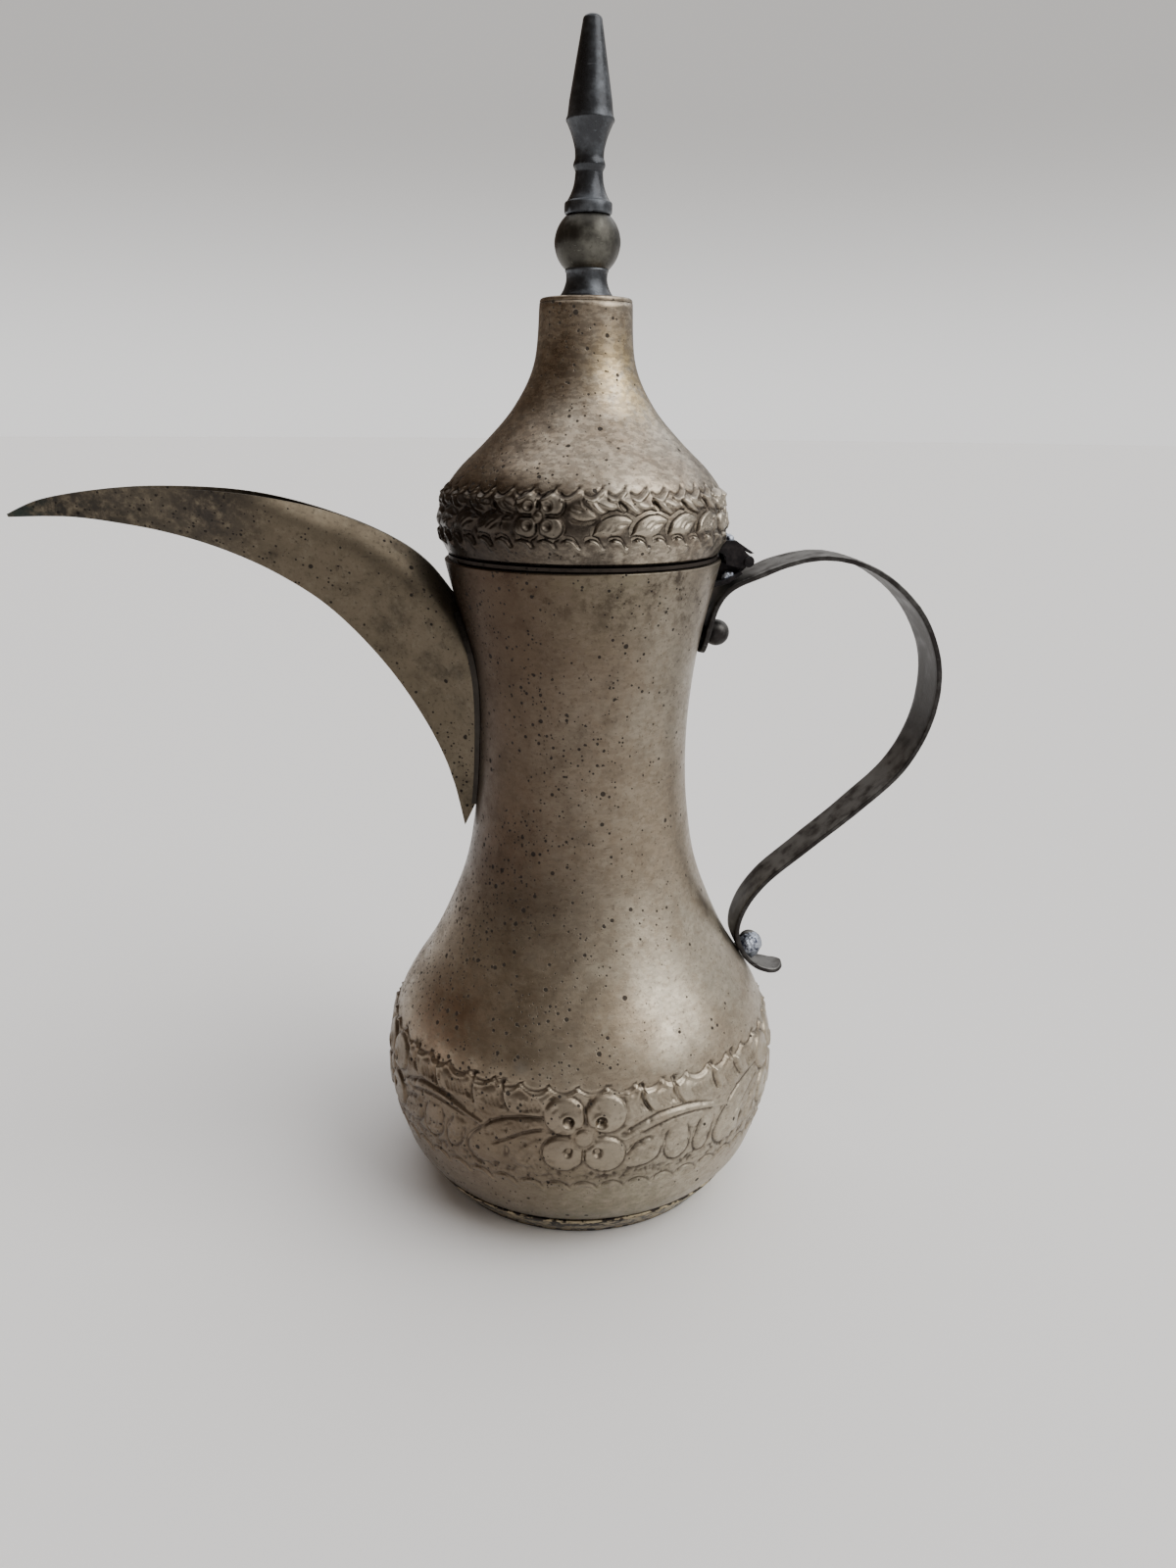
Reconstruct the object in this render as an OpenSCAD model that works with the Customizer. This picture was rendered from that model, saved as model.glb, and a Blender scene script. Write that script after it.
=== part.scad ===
// Dallah: a sheet-metal coffee pot with a beak spout, a strap handle and a hinged, domed lid.
// The pot stands on its foot with its axis on Z. The spout points to -X and the handle to +X.

/* [Pot] */
// Height of the pot's rim above the table
rim_z = 188.5; // [186:0.5:191]
// Outer radius of the rim
rim_r = 38.2; // [37.8:0.1:38.6]
// Height of the narrowest part of the neck
waist_z = 134; // [131:0.5:137]
// Outer radius of the narrowest part of the neck
waist_r = 30.1; // [29.6:0.1:30.6]
// Height of the widest part of the belly
belly_z = 36.5; // [34:0.5:39]
// Outer radius of the belly
belly_r = 59.3; // [58:0.1:60.5]
// Sheet thickness of the pot and the lid
sheet = 1; // [0.8:0.1:1.1]

/* [Foot] */
// Height of the foot ring
foot_h = 9; // [8.5:0.1:9.5]
// Outer radius of the foot ring where it stands
foot_r = 43; // [42.4:0.1:43.6]
// Thickness of the flat bottom
base_t = 1; // [0.8:0.1:1.2]

/* [Lid] */
// Gap between the pot's rim and the lid's lower edge
lid_gap = 2; // [1.8:0.1:2.4]
// Radius of the lid's lower edge
lid_edge_r = 37.4; // [37:0.1:37.8]
// Largest radius of the lid's ornamented band
lid_band_r = 39.8; // [39.4:0.1:40]
// Radius of the lid's neck
lid_neck_r = 12.2; // [11.6:0.1:12.6]
// Height of the top of the lid's neck
lid_top_z = 255.2; // [254:0.2:257]
// Depth of the collar inside the pot's mouth
collar_depth = 6.5; // [4:0.5:7]
// How far the lid swings open, in degrees
lid_open = 0; // [0:5:100]

/* [Finial] */
// Overall height of the pot, to the point of the finial
total_h = 320; // [318:1:324]
// Radius of the finial's ball
ball_r = 8.5; // [7.6:0.1:8.6]
// Radius of the threaded stud that holds the finial
stud_r = 2; // [1.5:0.1:2.2]

/* [Spout] */
// Reach of the spout's point from the pot's axis
spout_reach = 151.6; // [149:0.2:154]
// Height of the spout's point
spout_tip_z = 200; // [199:0.5:202]
// Sheet thickness of the spout
spout_t = 0.9; // [0.7:0.1:1]
// Widest half opening of the beak
beak_half = 5.5; // [4:0.5:6]
// How far each cheek bulges where it meets the pot
cheek_bulge = 8.5; // [7:0.5:9]

/* [Handle] */
// Thickness of the strap
strap_t = 1.5; // [1.3:0.1:1.7]
// Width of the strap at the top
strap_w = 16; // [15:0.5:17]
// Width of the strap's tail
tail_w = 10; // [9:0.5:11]
// Radius of the upper rivet's ball head
rivet_ball_r = 3.75; // [3.5:0.05:4]
// Radius of the rivets' shanks
rivet_r = 1.5; // [1.2:0.1:1.6]

/* [Hinge] */
// Distance from the pot's axis to the hinge pin
pin_x = 45.4; // [45.2:0.1:45.8]
// Height of the hinge pin
pin_z = 188; // [187.6:0.1:188.4]
// Radius of the hinge pin
pin_r = 0.8; // [0.6:0.1:0.9]
// Half width of the hinge
hinge_half = 6.5; // [6:0.1:7]

/* [Hidden] */
$fn = 96;

// Gap between soldered pieces, and the running fit of the hinge pin
seat = 0.05;
// Gap between the lid and the pot
clear = 0.3;
far = 200;

pot_colour = [0.55, 0.49, 0.40];
lid_colour = [0.50, 0.42, 0.33];
spout_colour = [0.40, 0.36, 0.30];
steel_colour = [0.24, 0.24, 0.24];
solder_colour = [0.62, 0.64, 0.66];

// ---- Curves ----

// A point between a and b, at the fraction f
function mid(a, b, f) = a + (b - a) * f;
// 0 below a, 1 above b, and smooth between them
function ease(a, b, x) = let (t = min(1, max(0, (x - a) / (b - a)))) t * t * (3 - 2 * t);
// A point on the smooth curve through a, b, c and d, at the fraction t between b and c
function blend(a, b, c, d, t) =
    b + 0.5 * t * (c - a + t * (2 * a - 5 * b + 4 * c - d + t * (3 * (b - c) + d - a)));
// A point on the smooth curve through all of p, at the fraction s of the list
function along(p, s) =
    let (last = len(p) - 1, x = min(s * last, last - 1e-9), i = floor(x))
    blend(p[max(i - 1, 0)], p[i], p[i + 1], p[min(i + 2, last)], x - i);
// The smooth curve through p, with n steps between neighbours
function smooth(p, n) = let (steps = (len(p) - 1) * n) [for (i = [0 : steps]) along(p, i / steps)];
// The curve p moved sideways by d, to the left of its direction
function beside(p, d) = [for (i = [0 : len(p) - 1])
    let (t = p[min(i + 1, len(p) - 1)] - p[max(i - 1, 0)])
    p[i] + d * [-t[1], t[0]] / norm(t)];
function reverse(p) = [for (i = [len(p) - 1 : -1 : 0]) p[i]];
// The part of a solid of revolution inside the curve p, from radius and height
function filled(p) = concat([[0, p[0][1]]], p, [[0, p[len(p) - 1][1]]]);

// ---- Outlines, as [radius, height] ----

body_foot_r = foot_r + 6.65;
body_outer = smooth([
    [body_foot_r, foot_h],
    [mid(body_foot_r, belly_r, 0.519), mid(foot_h, belly_z, 0.29)],
    [belly_r, belly_z],
    [mid(waist_r, belly_r, 0.853), mid(belly_z, waist_z, 0.215)],
    [mid(waist_r, belly_r, 0.452), mid(belly_z, waist_z, 0.42)],
    [mid(waist_r, belly_r, 0.146), mid(belly_z, waist_z, 0.64)],
    [mid(waist_r, belly_r, 0.03), mid(belly_z, waist_z, 0.835)],
    [waist_r, waist_z],
    [mid(waist_r, rim_r, 0.09), mid(waist_z, rim_z, 0.29)],
    [mid(waist_r, rim_r, 0.38), mid(waist_z, rim_z, 0.6)],
    [rim_r, rim_z],
], 4);

lid_edge_z = rim_z + lid_gap;
neck_top_z = lid_top_z - 1.2;
lid_outer = smooth([
    [lid_edge_r, lid_edge_z],
    [lid_band_r - 0.2, lid_edge_z + 4.6],
    [lid_band_r, lid_edge_z + 9.9],
    [lid_band_r - 1.6, lid_edge_z + 15.9],
    [lid_neck_r + 21.5, lid_edge_z + 21.9],
    [lid_neck_r + 14.2, lid_edge_z + 28.9],
    [lid_neck_r + 6.4, lid_edge_z + 37.9],
    [lid_neck_r + 1.2, lid_edge_z + 48.9],
    [lid_neck_r, neck_top_z],
], 4);

// The pot's outer radius at the height z
function body_r_at(z) = lookup(z, [for (p = body_outer) [p[1], p[0]]]);

// ---- Shapes used by several sub-parts ----

// A turned or spun sheet that follows the curve p on its outside
module spun_sheet(p, t) {
    rotate_extrude() polygon(concat(p, reverse(beside(p, t))));
}

module body_envelope(gap) {
    rotate_extrude() polygon(filled(beside(body_outer, -gap)));
}

module lid_envelope(gap) {
    rotate_extrude() polygon(filled(beside(lid_outer, -gap)));
}

// An outline in X and Z, given width along Y
module side_plate(width) {
    rotate([90, 0, 0]) linear_extrude(width, center = true) children();
}

// Places its children at the hinge pin, swung open with the lid
module on_lid() {
    translate([pin_x, 0, pin_z]) rotate([0, lid_open, 0]) translate([-pin_x, 0, -pin_z]) children();
}

// ---- Pot ----

// The strainer: rows of holes in the wall behind the spout, as [height, number of holes]
strainer_rows = [[128, 1], [134, 2], [140, 1], [146, 2], [152, 3], [158, 2]];
strainer_pitch = 5;
strainer_r = 1.3;

module strainer_holes() {
    for (row = strainer_rows, k = [0 : row[1] - 1])
        translate([-far / 2, (k - (row[1] - 1) / 2) * strainer_pitch, row[0]])
            rotate([0, 90, 0]) cylinder(h = far / 2, r = strainer_r);
}

module body_shell() {
    color(pot_colour) difference() {
        spun_sheet(body_outer, sheet);
        strainer_holes();
        on_upper_rivet() cylinder(h = 12, r = rivet_r + seat, center = true);
        on_lower_rivet() cylinder(h = 12, r = rivet_r + seat, center = true);
    }
}

// The foot ring carries on the pot's curve, from just inside its lower edge down to the table
module foot_ring() {
    wall = 1.3;
    round_r = 0.4;
    top_r = body_foot_r - 0.25;
    outside = [
        [foot_r, round_r], [mid(foot_r, top_r, 0.38), 0.3 * foot_h],
        [mid(foot_r, top_r, 0.71), 0.62 * foot_h], [top_r, foot_h - seat],
    ];
    inside = [for (p = outside) p - [wall, 0]];
    color(pot_colour) rotate_extrude()
        polygon(concat(outside, reverse(inside), [[foot_r - wall + round_r, 0], [foot_r - round_r, 0]]));
}

module base_disc() {
    color(pot_colour) translate([0, 0, foot_h]) cylinder(h = base_t, r = body_foot_r - 1);
}

// ---- Spout ----

// Upper edge and keel in X and Z, from the point to the pot
spout_top = [
    [-spout_reach, spout_tip_z + 0.4], [-142.7, 204.2], [-129, 206.5], [-114.5, 207.3], [-94, 206.4],
    [-77.2, 203.5], [-62.5, 199], [-50.5, 193.3], [-42.5, 187.2], [-36.3, 179.3],
];
spout_keel = [
    [-spout_reach, spout_tip_z - 0.4], [-136.5, 199.7], [-123, 198], [-109.6, 195.2], [-96.2, 190.8],
    [-82.8, 184.4], [-69.4, 175.1], [-56, 160.6], [-45.4, 144.5], [-38.2, 128.5], [-34.3, 112],
];
spout_low_z = 111.2;
spout_high_z = 179.3;
// Fraction of the spout's length at which the cheeks close over the top, and where the opening starts
closed_from = 0.66;
open_from = 0.14;
// Steps along the spout and across a cheek
spout_steps = 20;
cheek_steps = 10;
// Half the gap in which the seams run
seam_half = 0.3;

function cheek_t(u) = mid(0.45, spout_t, ease(0, 0.2, u));
// Half width added at the upper edge, and at the bulge
function edge_half(u) =
    0.8 * (1 - ease(0.5, closed_from, u))
    + (u > open_from && u < closed_from
        ? beak_half * pow(sin(180 * (u - open_from) / (closed_from - open_from)), 2) : 0);
function bulge_half(u) = cheek_bulge * ease(0.3, 1, u);
// Inner face of a cheek, as its distance from the middle plane, at u along and v up the spout
function cheek_in(u, v) =
    seam_half + edge_half(u) * pow(v, 0.8) + bulge_half(u) * sin(180 * pow(v, 2));
function cheek_out(u, v) = cheek_in(u, v) + cheek_t(u);

// The cheek's end on the pot's wall, with a short blunt foot below
blunt_foot = 2.4;
function cheek_end(v) =
    let (
        z = mid(spout_low_z, spout_high_z, v),
        r = body_r_at(z) + 2 * seat,
        y = cheek_in(1, v)
    )
    [-sqrt(r * r - y * y) - blunt_foot * max(0, 1 - v * cheek_steps), z];
function chord(u, v) = mid(along(spout_keel, u), along(spout_top, u), v);
function spout_at(u, v) = chord(u, v) + pow(u, 4) * (cheek_end(v) - chord(1, v));

// Triangles over a grid of points, with n steps along and m across, starting at the index o
function grid_faces(n, m, o, flip) = [
    for (i = [0 : n - 1], j = [0 : m - 1])
        let (
            a = o + i * (m + 1) + j,
            b = a + 1,
            c = a + m + 1,
            d = c + 1
        )
        each (flip ? [[a, c, b], [b, c, d]] : [[a, b, c], [b, d, c]])
];
// Triangles that join the edges of two such grids, the second one starting at the index o
function rim_faces(n, m, o) =
    let (
        loop = concat(
            [for (j = [0 : m - 1]) j],
            [for (i = [0 : n - 1]) i * (m + 1) + m],
            [for (j = [m : -1 : 1]) n * (m + 1) + j],
            [for (i = [n : -1 : 1]) i * (m + 1)]
        ),
        count = len(loop)
    )
    [for (k = [0 : count - 1])
        let (a = loop[k], b = loop[(k + 1) % count])
        each [[a, a + o, b], [b, a + o, b + o]]];

module cheek() {
    n = spout_steps;
    m = cheek_steps;
    outer = [for (i = [0 : n], j = [0 : m])
        let (p = spout_at(i / n, j / m)) [p[0], -cheek_out(i / n, j / m), p[1]]];
    inner = [for (i = [0 : n], j = [0 : m])
        let (p = spout_at(i / n, j / m)) [p[0], -cheek_in(i / n, j / m), p[1]]];
    o = len(outer);
    polyhedron(
        points = concat(outer, inner),
        faces = concat(
            grid_faces(n, m, 0, false),
            grid_faces(n, m, o, true),
            rim_faces(n, m, o)
        ),
        convexity = 6
    );
}

module spout_cheek_left() {
    color(spout_colour) cheek();
}

module spout_cheek_right() {
    color(spout_colour) mirror([0, 1, 0]) cheek();
}

// A thin upright strip between the cheeks, from u0 to u1 along the spout and v0 to v1 up it
module seam_strip(u0, u1, v0, v1) {
    n = spout_steps;
    lower = [for (i = [0 : n]) spout_at(mid(u0, u1, i / n), v0)];
    upper = [for (i = [0 : n]) spout_at(mid(u0, u1, i / n), v1)];
    side_plate(2 * (seam_half - seat)) polygon(concat(lower, reverse(upper)));
}

module spout_keel_seam() {
    color(solder_colour) seam_strip(0, 0.98, 0, 0.06);
}

module spout_crown_seam() {
    color(solder_colour) seam_strip(closed_from, 0.98, 0.955, 1);
}

// A fillet of solder on the outside of each cheek, where it meets the pot
module spout_solder() {
    m = 16;
    leg = 1.2;
    // Starts above the blunt foot and stops below the closed top
    function at(k) = mid(0.1, 0.93, k / m);
    // How far the fillet leans outwards with the cheek, which swells more near the top
    function lean(v) = 0.5 + 1.7 * ease(0.65, 0.9, v);
    rows = [for (k = [0 : m])
        let (
            v = at(k),
            z = mid(spout_low_z, spout_high_z, v),
            r = body_r_at(z) + 3 * seat,
            y = cheek_out(1, v) + 3 * seat,
            wide = y + leg,
            wall = -sqrt(r * r - y * y)
        )
        [[wall, -y, z], [-sqrt(r * r - wide * wide), -wide, z], [wall - leg, -y - lean(v), z]]];
    points = [for (row = rows) each row];
    sides = [for (k = [0 : m - 1], s = [0 : 2])
        let (a = 3 * k + s, b = 3 * k + (s + 1) % 3)
        each [[a, a + 3, b], [b, a + 3, b + 3]]];
    faces = concat(sides, [[0, 1, 2]], [[3 * m, 3 * m + 2, 3 * m + 1]]);
    color(solder_colour) for (s = [0, 1])
        mirror([0, s, 0]) polyhedron(points = points, faces = faces, convexity = 4);
}

// ---- Handle ----

// Middle of the strap in X and Z, from its root under the rim to its curled tail
strap_line = smooth([
    [33, 160.4], [34.8, 168.6], [37.3, 176.6], [41.2, 180.9], [47.6, 183.8], [57, 187.4], [68, 189],
    [79.5, 186.4], [90.7, 178.9], [98.8, 168.3], [102.6, 155.4], [101.1, 140.6], [94, 126.5],
    [81.2, 114.2], [67, 102.1], [55.8, 92.6], [49.6, 83.9], [47.5, 75.6], [50, 68.4], [54.6, 63.7],
    [60, 62], [63.4, 62.7],
], 5);
// The last part of that line, beside the lower rivet
strap_tail = [for (i = [len(strap_line) - 31 : len(strap_line) - 1]) strap_line[i]];
// Heights between which the strap narrows to its tail
strap_full_z = 150;
strap_low_z = 59;
// End of the tail, and end of the root with the radius of its corners
tail_end_x = 63.9;
root_z = 161.6;
root_end_x = 45;
root_corner = 4;

module handle_strap() {
    color(steel_colour) difference() {
        intersection() {
            side_plate(strap_w)
                polygon(concat(beside(strap_line, strap_t / 2), reverse(beside(strap_line, -strap_t / 2))));
            strap_taper();
        }
        strap_root_corners();
        strap_tail_corners();
        body_envelope(seat);
        on_upper_rivet() cylinder(h = 12, r = rivet_r + seat, center = true);
        on_lower_rivet() cylinder(h = 12, r = rivet_r + seat, center = true);
    }
}

// The strap's width at each height
module strap_taper() {
    half = strap_w / 2;
    tail = tail_w / 2;
    rotate([90, 0, 90]) linear_extrude(far) polygon([
        [-tail, strap_low_z], [tail, strap_low_z], [half, strap_full_z], [half, total_h],
        [-half, total_h], [-half, strap_full_z],
    ]);
}

// What is cut off to round the corners of the strap's root
module strap_root_corners() {
    half = strap_w / 2;
    rotate([90, 0, 90]) linear_extrude(root_end_x) difference() {
        translate([-half - 1, root_z - 4]) square([strap_w + 2, root_corner + 4]);
        for (s = [-1, 1]) translate([s * (half - root_corner), root_z + root_corner]) circle(root_corner);
        translate([root_corner - half, root_z]) square([strap_w - 2 * root_corner, 2 * root_corner]);
    }
}

// What is cut off to give the strap's tail a half round end, seen from above
module strap_tail_corners() {
    tail = tail_w / 2;
    translate([tail_end_x - tail, 0, strap_low_z - 1]) difference() {
        translate([0, -tail - 2, 0]) cube([tail + 5, tail_w + 4, tail]);
        translate([0, 0, -1]) cylinder(h = tail + 2, r = tail);
    }
}

// The rivets stand square to the pot's wall. Their Z axis points away from the pot
upper_rivet_z = 168.2;
upper_rivet_tilt = 100.7;
lower_rivet_z = 68.4;
lower_rivet_tilt = 59;
lower_ball_r = 3.2;

module on_upper_rivet() {
    translate([body_r_at(upper_rivet_z), 0, upper_rivet_z]) rotate([0, upper_rivet_tilt, 0]) children();
}

module on_lower_rivet() {
    translate([body_r_at(lower_rivet_z), 0, lower_rivet_z]) rotate([0, lower_rivet_tilt, 0]) children();
}

// A ball head flattened where it sits on the strap, a shank through the wall and a hammered tail
module ball_rivet(r, seat_z) {
    tail_z = -sheet - 0.35;
    tail_h = 0.9;
    intersection() {
        translate([0, 0, seat_z + 0.75 * r]) sphere(r);
        translate([-r, -r, seat_z]) cube(2 * r);
    }
    translate([0, 0, tail_z - tail_h]) cylinder(h = seat_z - tail_z + tail_h + 0.5, r = rivet_r);
    translate([0, 0, tail_z - tail_h]) cylinder(h = tail_h, r = 1.8 * rivet_r);
}

module upper_rivet() {
    color(steel_colour) on_upper_rivet() ball_rivet(rivet_ball_r, strap_t + 0.6);
}

module lower_rivet() {
    color(steel_colour) on_lower_rivet() ball_rivet(lower_ball_r, strap_t + 0.5);
}

// A lump of solder that has run down from the lower rivet into the crook of the tail
module lower_rivet_solder() {
    color(solder_colour) difference() {
        on_lower_rivet() {
            translate([2.6, 0.2, 3.4]) sphere(2.9);
            translate([5, -0.3, 2.9]) sphere(1.9);
        }
        on_lower_rivet() translate([0, 0, strap_t + 0.5 + 0.75 * lower_ball_r]) sphere(lower_ball_r + seat);
        side_plate(strap_w) polygon(concat(
            beside(strap_tail, strap_t / 2 + seat),
            reverse(beside(strap_tail, -strap_t / 2 - 3))
        ));
    }
}

// ---- Hinge ----

barrel_r = 1.6;
lug_half = 3;
ear_gap = 0.3;
leaf_t = 0.9;

// Round barrel on the pin's axis, from y0 to y1
module barrel(r, y0, y1) {
    translate([pin_x, y1, pin_z]) rotate([90, 0, 0]) cylinder(h = y1 - y0, r = r);
}

// Outline of the leaf that is soldered to the strap, made thicker by the gap g
function lug_leaf(g) = [
    [36, 181 - g], [40.1, 182.2 - g], [43.8 + g, 184.6 - g], [43.3 + g, 185.4 + g], [39.8, 183.3 + g],
    [36, 182.1 + g],
];

// Lug on the pot's wall that carries the middle of the pin, with a leaf soldered to the strap
module body_hinge_lug() {
    color(steel_colour) difference() {
        union() {
            side_plate(2 * lug_half) polygon([
                [36, 181.2], [40.2, 182.2], [44, 184.6], [pin_x + 0.9, pin_z - 1.3],
                [pin_x - 0.9, pin_z + 1.3], [42.6, 187.4], [36, 187.4],
            ]);
            barrel(barrel_r, -lug_half, lug_half);
            side_plate(2 * hinge_half) polygon(lug_leaf(0));
        }
        barrel(pin_r + seat, -far, far);
        body_envelope(seat);
        side_plate(far) polygon(concat(
            beside(strap_line, strap_t / 2 + seat),
            reverse(beside(strap_line, -strap_t / 2 - 4))
        ));
    }
}

// Solder along the foot of the lug's leaf
module body_hinge_solder() {
    color(solder_colour) difference() {
        for (y = [-4.6, 0, 4.6]) translate([39.4, y, 183.6]) sphere(1.5);
        side_plate(2 * hinge_half + 2) polygon(concat(lug_leaf(seat), [[36, 180]]));
        translate([30, -lug_half - seat, 180]) cube([20, 2 * (lug_half + seat), 10]);
        body_envelope(seat);
    }
}

module hinge_pin() {
    head_h = 0.8;
    inside = hinge_half + 0.15;
    color(steel_colour) {
        barrel(pin_r, -inside - head_h, inside + head_h);
        barrel(1.3, -inside - head_h, -inside);
        barrel(1.3, inside, inside + head_h);
    }
}

// Two ears round the lug, joined by a leaf that is soldered to the lid
module lid_hinge_leaf() {
    ear_in = lug_half + ear_gap;
    ear_w = hinge_half - ear_in;
    color(steel_colour) on_lid() difference() {
        union() {
            for (s = [-1, 1]) translate([0, s * (ear_in + ear_w / 2), 0]) {
                side_plate(ear_w) polygon([
                    [37, lid_edge_z], [38.9, lid_edge_z - 0.8], [39.1, 187.2], [43.6, 186.2],
                    [pin_x - 0.6, pin_z - 1.5],
                    [pin_x + 1.5, pin_z + 0.5], [41.6, 193.1], [37, 193.1],
                ]);
                barrel(barrel_r, -ear_w / 2, ear_w / 2);
            }
            side_plate(2 * hinge_half) polygon([
                [pin_x + 1.4, pin_z + 2.3], [pin_x + 0.4, pin_z + 2.1],
                [40.8, 192.7], [37, 192.7], [37, 193.9], [41.7, 193.7],
            ]);
        }
        barrel(pin_r + seat, -far, far);
        lid_envelope(seat);
    }
}

module lid_hinge_solder() {
    color(solder_colour) on_lid() difference() {
        for (y = [-4.4, -1.2, 2.6]) translate([40.4, y, 194.1]) sphere(1.3);
        translate([36, -hinge_half - 2, 190]) cube([10, 2 * hinge_half + 4, 3.9 + seat]);
        lid_envelope(seat);
    }
}

// ---- Lid ----

module lid_shell() {
    color(lid_colour) on_lid() spun_sheet(lid_outer, sheet);
}

// Sleeve that enters the pot's mouth, with a shoulder that rests on the rim
module lid_collar() {
    wall = 0.9;
    sleeve_r = 34.4;
    shoulder_r = lid_edge_r - 0.3;
    low = rim_z - collar_depth;
    ledge = rim_z + 2 * clear;
    color(lid_colour) on_lid() rotate_extrude() polygon([
        [sleeve_r - wall, low], [sleeve_r, low], [sleeve_r, ledge], [shoulder_r, ledge],
        [shoulder_r, ledge + wall], [sleeve_r, ledge + wall], [sleeve_r, lid_edge_z + 6],
        [sleeve_r - wall, lid_edge_z + 6],
    ]);
}

module neck_cap() {
    color(lid_colour) on_lid() difference() {
        rotate_extrude() polygon([
            [0, neck_top_z + seat], [lid_neck_r - 0.1, neck_top_z + seat],
            [lid_neck_r - 0.1, neck_top_z + 0.5], [lid_neck_r - 0.35, lid_top_z - 0.2],
            [lid_neck_r - 0.8, lid_top_z], [0, lid_top_z],
        ]);
        stud_bore();
    }
}

// ---- Finial ----

pedestal_top_z = lid_top_z + 7;
ball_z = pedestal_top_z + 6.3;
ball_top_z = ball_z + 6.6;
stud_top_z = ball_top_z + 13;
stud_low_z = neck_top_z - 6;

module stud_bore() {
    cylinder(h = stud_top_z + 1, r = stud_r + seat);
}

module finial_pedestal() {
    z = lid_top_z + seat;
    color(steel_colour) on_lid() difference() {
        rotate_extrude() polygon(concat(
            [[0, z], [6.9, z]],
            smooth([[6.9, z + 0.5], [6, z + 2.1], [5.3, z + 4.3], [5.35, z + 6]], 3),
            [[5.6, pedestal_top_z], [0, pedestal_top_z]]
        ));
        stud_bore();
    }
}

module finial_ball() {
    color(steel_colour) on_lid() difference() {
        intersection() {
            translate([0, 0, ball_z]) sphere(ball_r);
            translate([-ball_r, -ball_r, pedestal_top_z + seat])
                cube([2 * ball_r, 2 * ball_r, ball_top_z - pedestal_top_z - 2 * seat]);
        }
        stud_bore();
    }
}

module finial_spire() {
    z = ball_top_z;
    color(steel_colour) on_lid() difference() {
        rotate_extrude() polygon(concat(
            [[0, z], [6, z], [6.1, z + 0.4], [6.1, z + 2.8], [5.5, z + 3.1]],
            smooth([[5.4, z + 3.3], [4.5, z + 5], [3.8, z + 7.2], [3.5, z + 9.8]], 3),
            smooth([[3.6, z + 10.2], [4.1, z + 11.4], [3.7, z + 12.8]], 3),
            smooth([[3.65, z + 13.4], [3.8, z + 15.2], [4.6, z + 18.1], [5.8, z + 20.9]], 3),
            [[6.1, z + 21.3], [6.1, z + 21.9], [5.8, z + 22.5], [5.4, z + 25.9], [2.4, total_h - 1.3]],
            [for (a = [15 : 15 : 90]) [2.4 * cos(a), total_h - 1.3 + 1.3 * sin(a)]]
        ));
        stud_bore();
    }
}

module finial_stud() {
    color(steel_colour) on_lid()
        translate([0, 0, stud_low_z]) cylinder(h = stud_top_z - stud_low_z, r = stud_r);
}

washer_t = 0.8;
nut_t = 3.2;

module finial_washer() {
    color(steel_colour) on_lid() difference() {
        translate([0, 0, neck_top_z - washer_t]) cylinder(h = washer_t, r = 5);
        stud_bore();
    }
}

module finial_nut() {
    across_corners = 8.1;
    color(steel_colour) on_lid() difference() {
        translate([0, 0, neck_top_z - washer_t - seat - nut_t])
            cylinder(h = nut_t, r = across_corners / 2, $fn = 6);
        stud_bore();
    }
}

body_shell();
foot_ring();
base_disc();
spout_cheek_left();
spout_cheek_right();
spout_keel_seam();
spout_crown_seam();
spout_solder();
handle_strap();
upper_rivet();
lower_rivet();
lower_rivet_solder();
body_hinge_lug();
body_hinge_solder();
hinge_pin();
lid_shell();
lid_collar();
neck_cap();
finial_pedestal();
finial_ball();
finial_spire();
finial_stud();
finial_washer();
finial_nut();
lid_hinge_leaf();
lid_hinge_solder();
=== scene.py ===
"""The looks of a dallah: an old coffee pot of spun sheet metal with chased ornament, a beak spout,
a strap handle and a hinged lid with a turned spire. Lengths are in millimetres until a mesh is made."""

import math

import bmesh
import bpy
import numpy as np
from mathutils import Matrix, Vector


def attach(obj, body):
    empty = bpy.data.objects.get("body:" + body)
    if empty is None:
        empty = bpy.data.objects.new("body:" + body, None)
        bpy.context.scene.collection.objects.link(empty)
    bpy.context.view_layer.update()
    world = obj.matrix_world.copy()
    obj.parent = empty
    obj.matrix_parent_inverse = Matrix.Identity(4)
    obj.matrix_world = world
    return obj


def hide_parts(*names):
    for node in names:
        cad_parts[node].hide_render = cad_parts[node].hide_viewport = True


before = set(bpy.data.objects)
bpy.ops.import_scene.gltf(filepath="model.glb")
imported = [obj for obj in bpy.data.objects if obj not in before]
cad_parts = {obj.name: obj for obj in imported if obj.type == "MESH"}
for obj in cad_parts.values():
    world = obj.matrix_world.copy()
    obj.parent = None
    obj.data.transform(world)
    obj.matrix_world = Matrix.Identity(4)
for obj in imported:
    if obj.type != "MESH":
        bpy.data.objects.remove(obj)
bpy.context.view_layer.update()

MM = 0.001
TAU = 2 * math.pi


# ---- Curves ----


def mid(a, b, f):
    return a + (b - a) * f


def ease(a, b, x):
    """0 below a, 1 above b, and smooth between them."""
    t = np.clip((x - a) / (b - a), 0, 1)
    return t * t * (3 - 2 * t)


def along(points, s):
    """The point on the smooth curve through points at the fraction s, as the CAD model has it."""
    p = np.asarray(points, float)
    last = len(p) - 1
    x = min(s * last, last - 1e-9)
    i = int(x)
    t = x - i
    a, b, c, d = p[max(i - 1, 0)], p[i], p[i + 1], p[min(i + 2, last)]
    return b + 0.5 * t * (c - a + t * (2 * a - 5 * b + 4 * c - d + t * (3 * (b - c) + d - a)))


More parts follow.
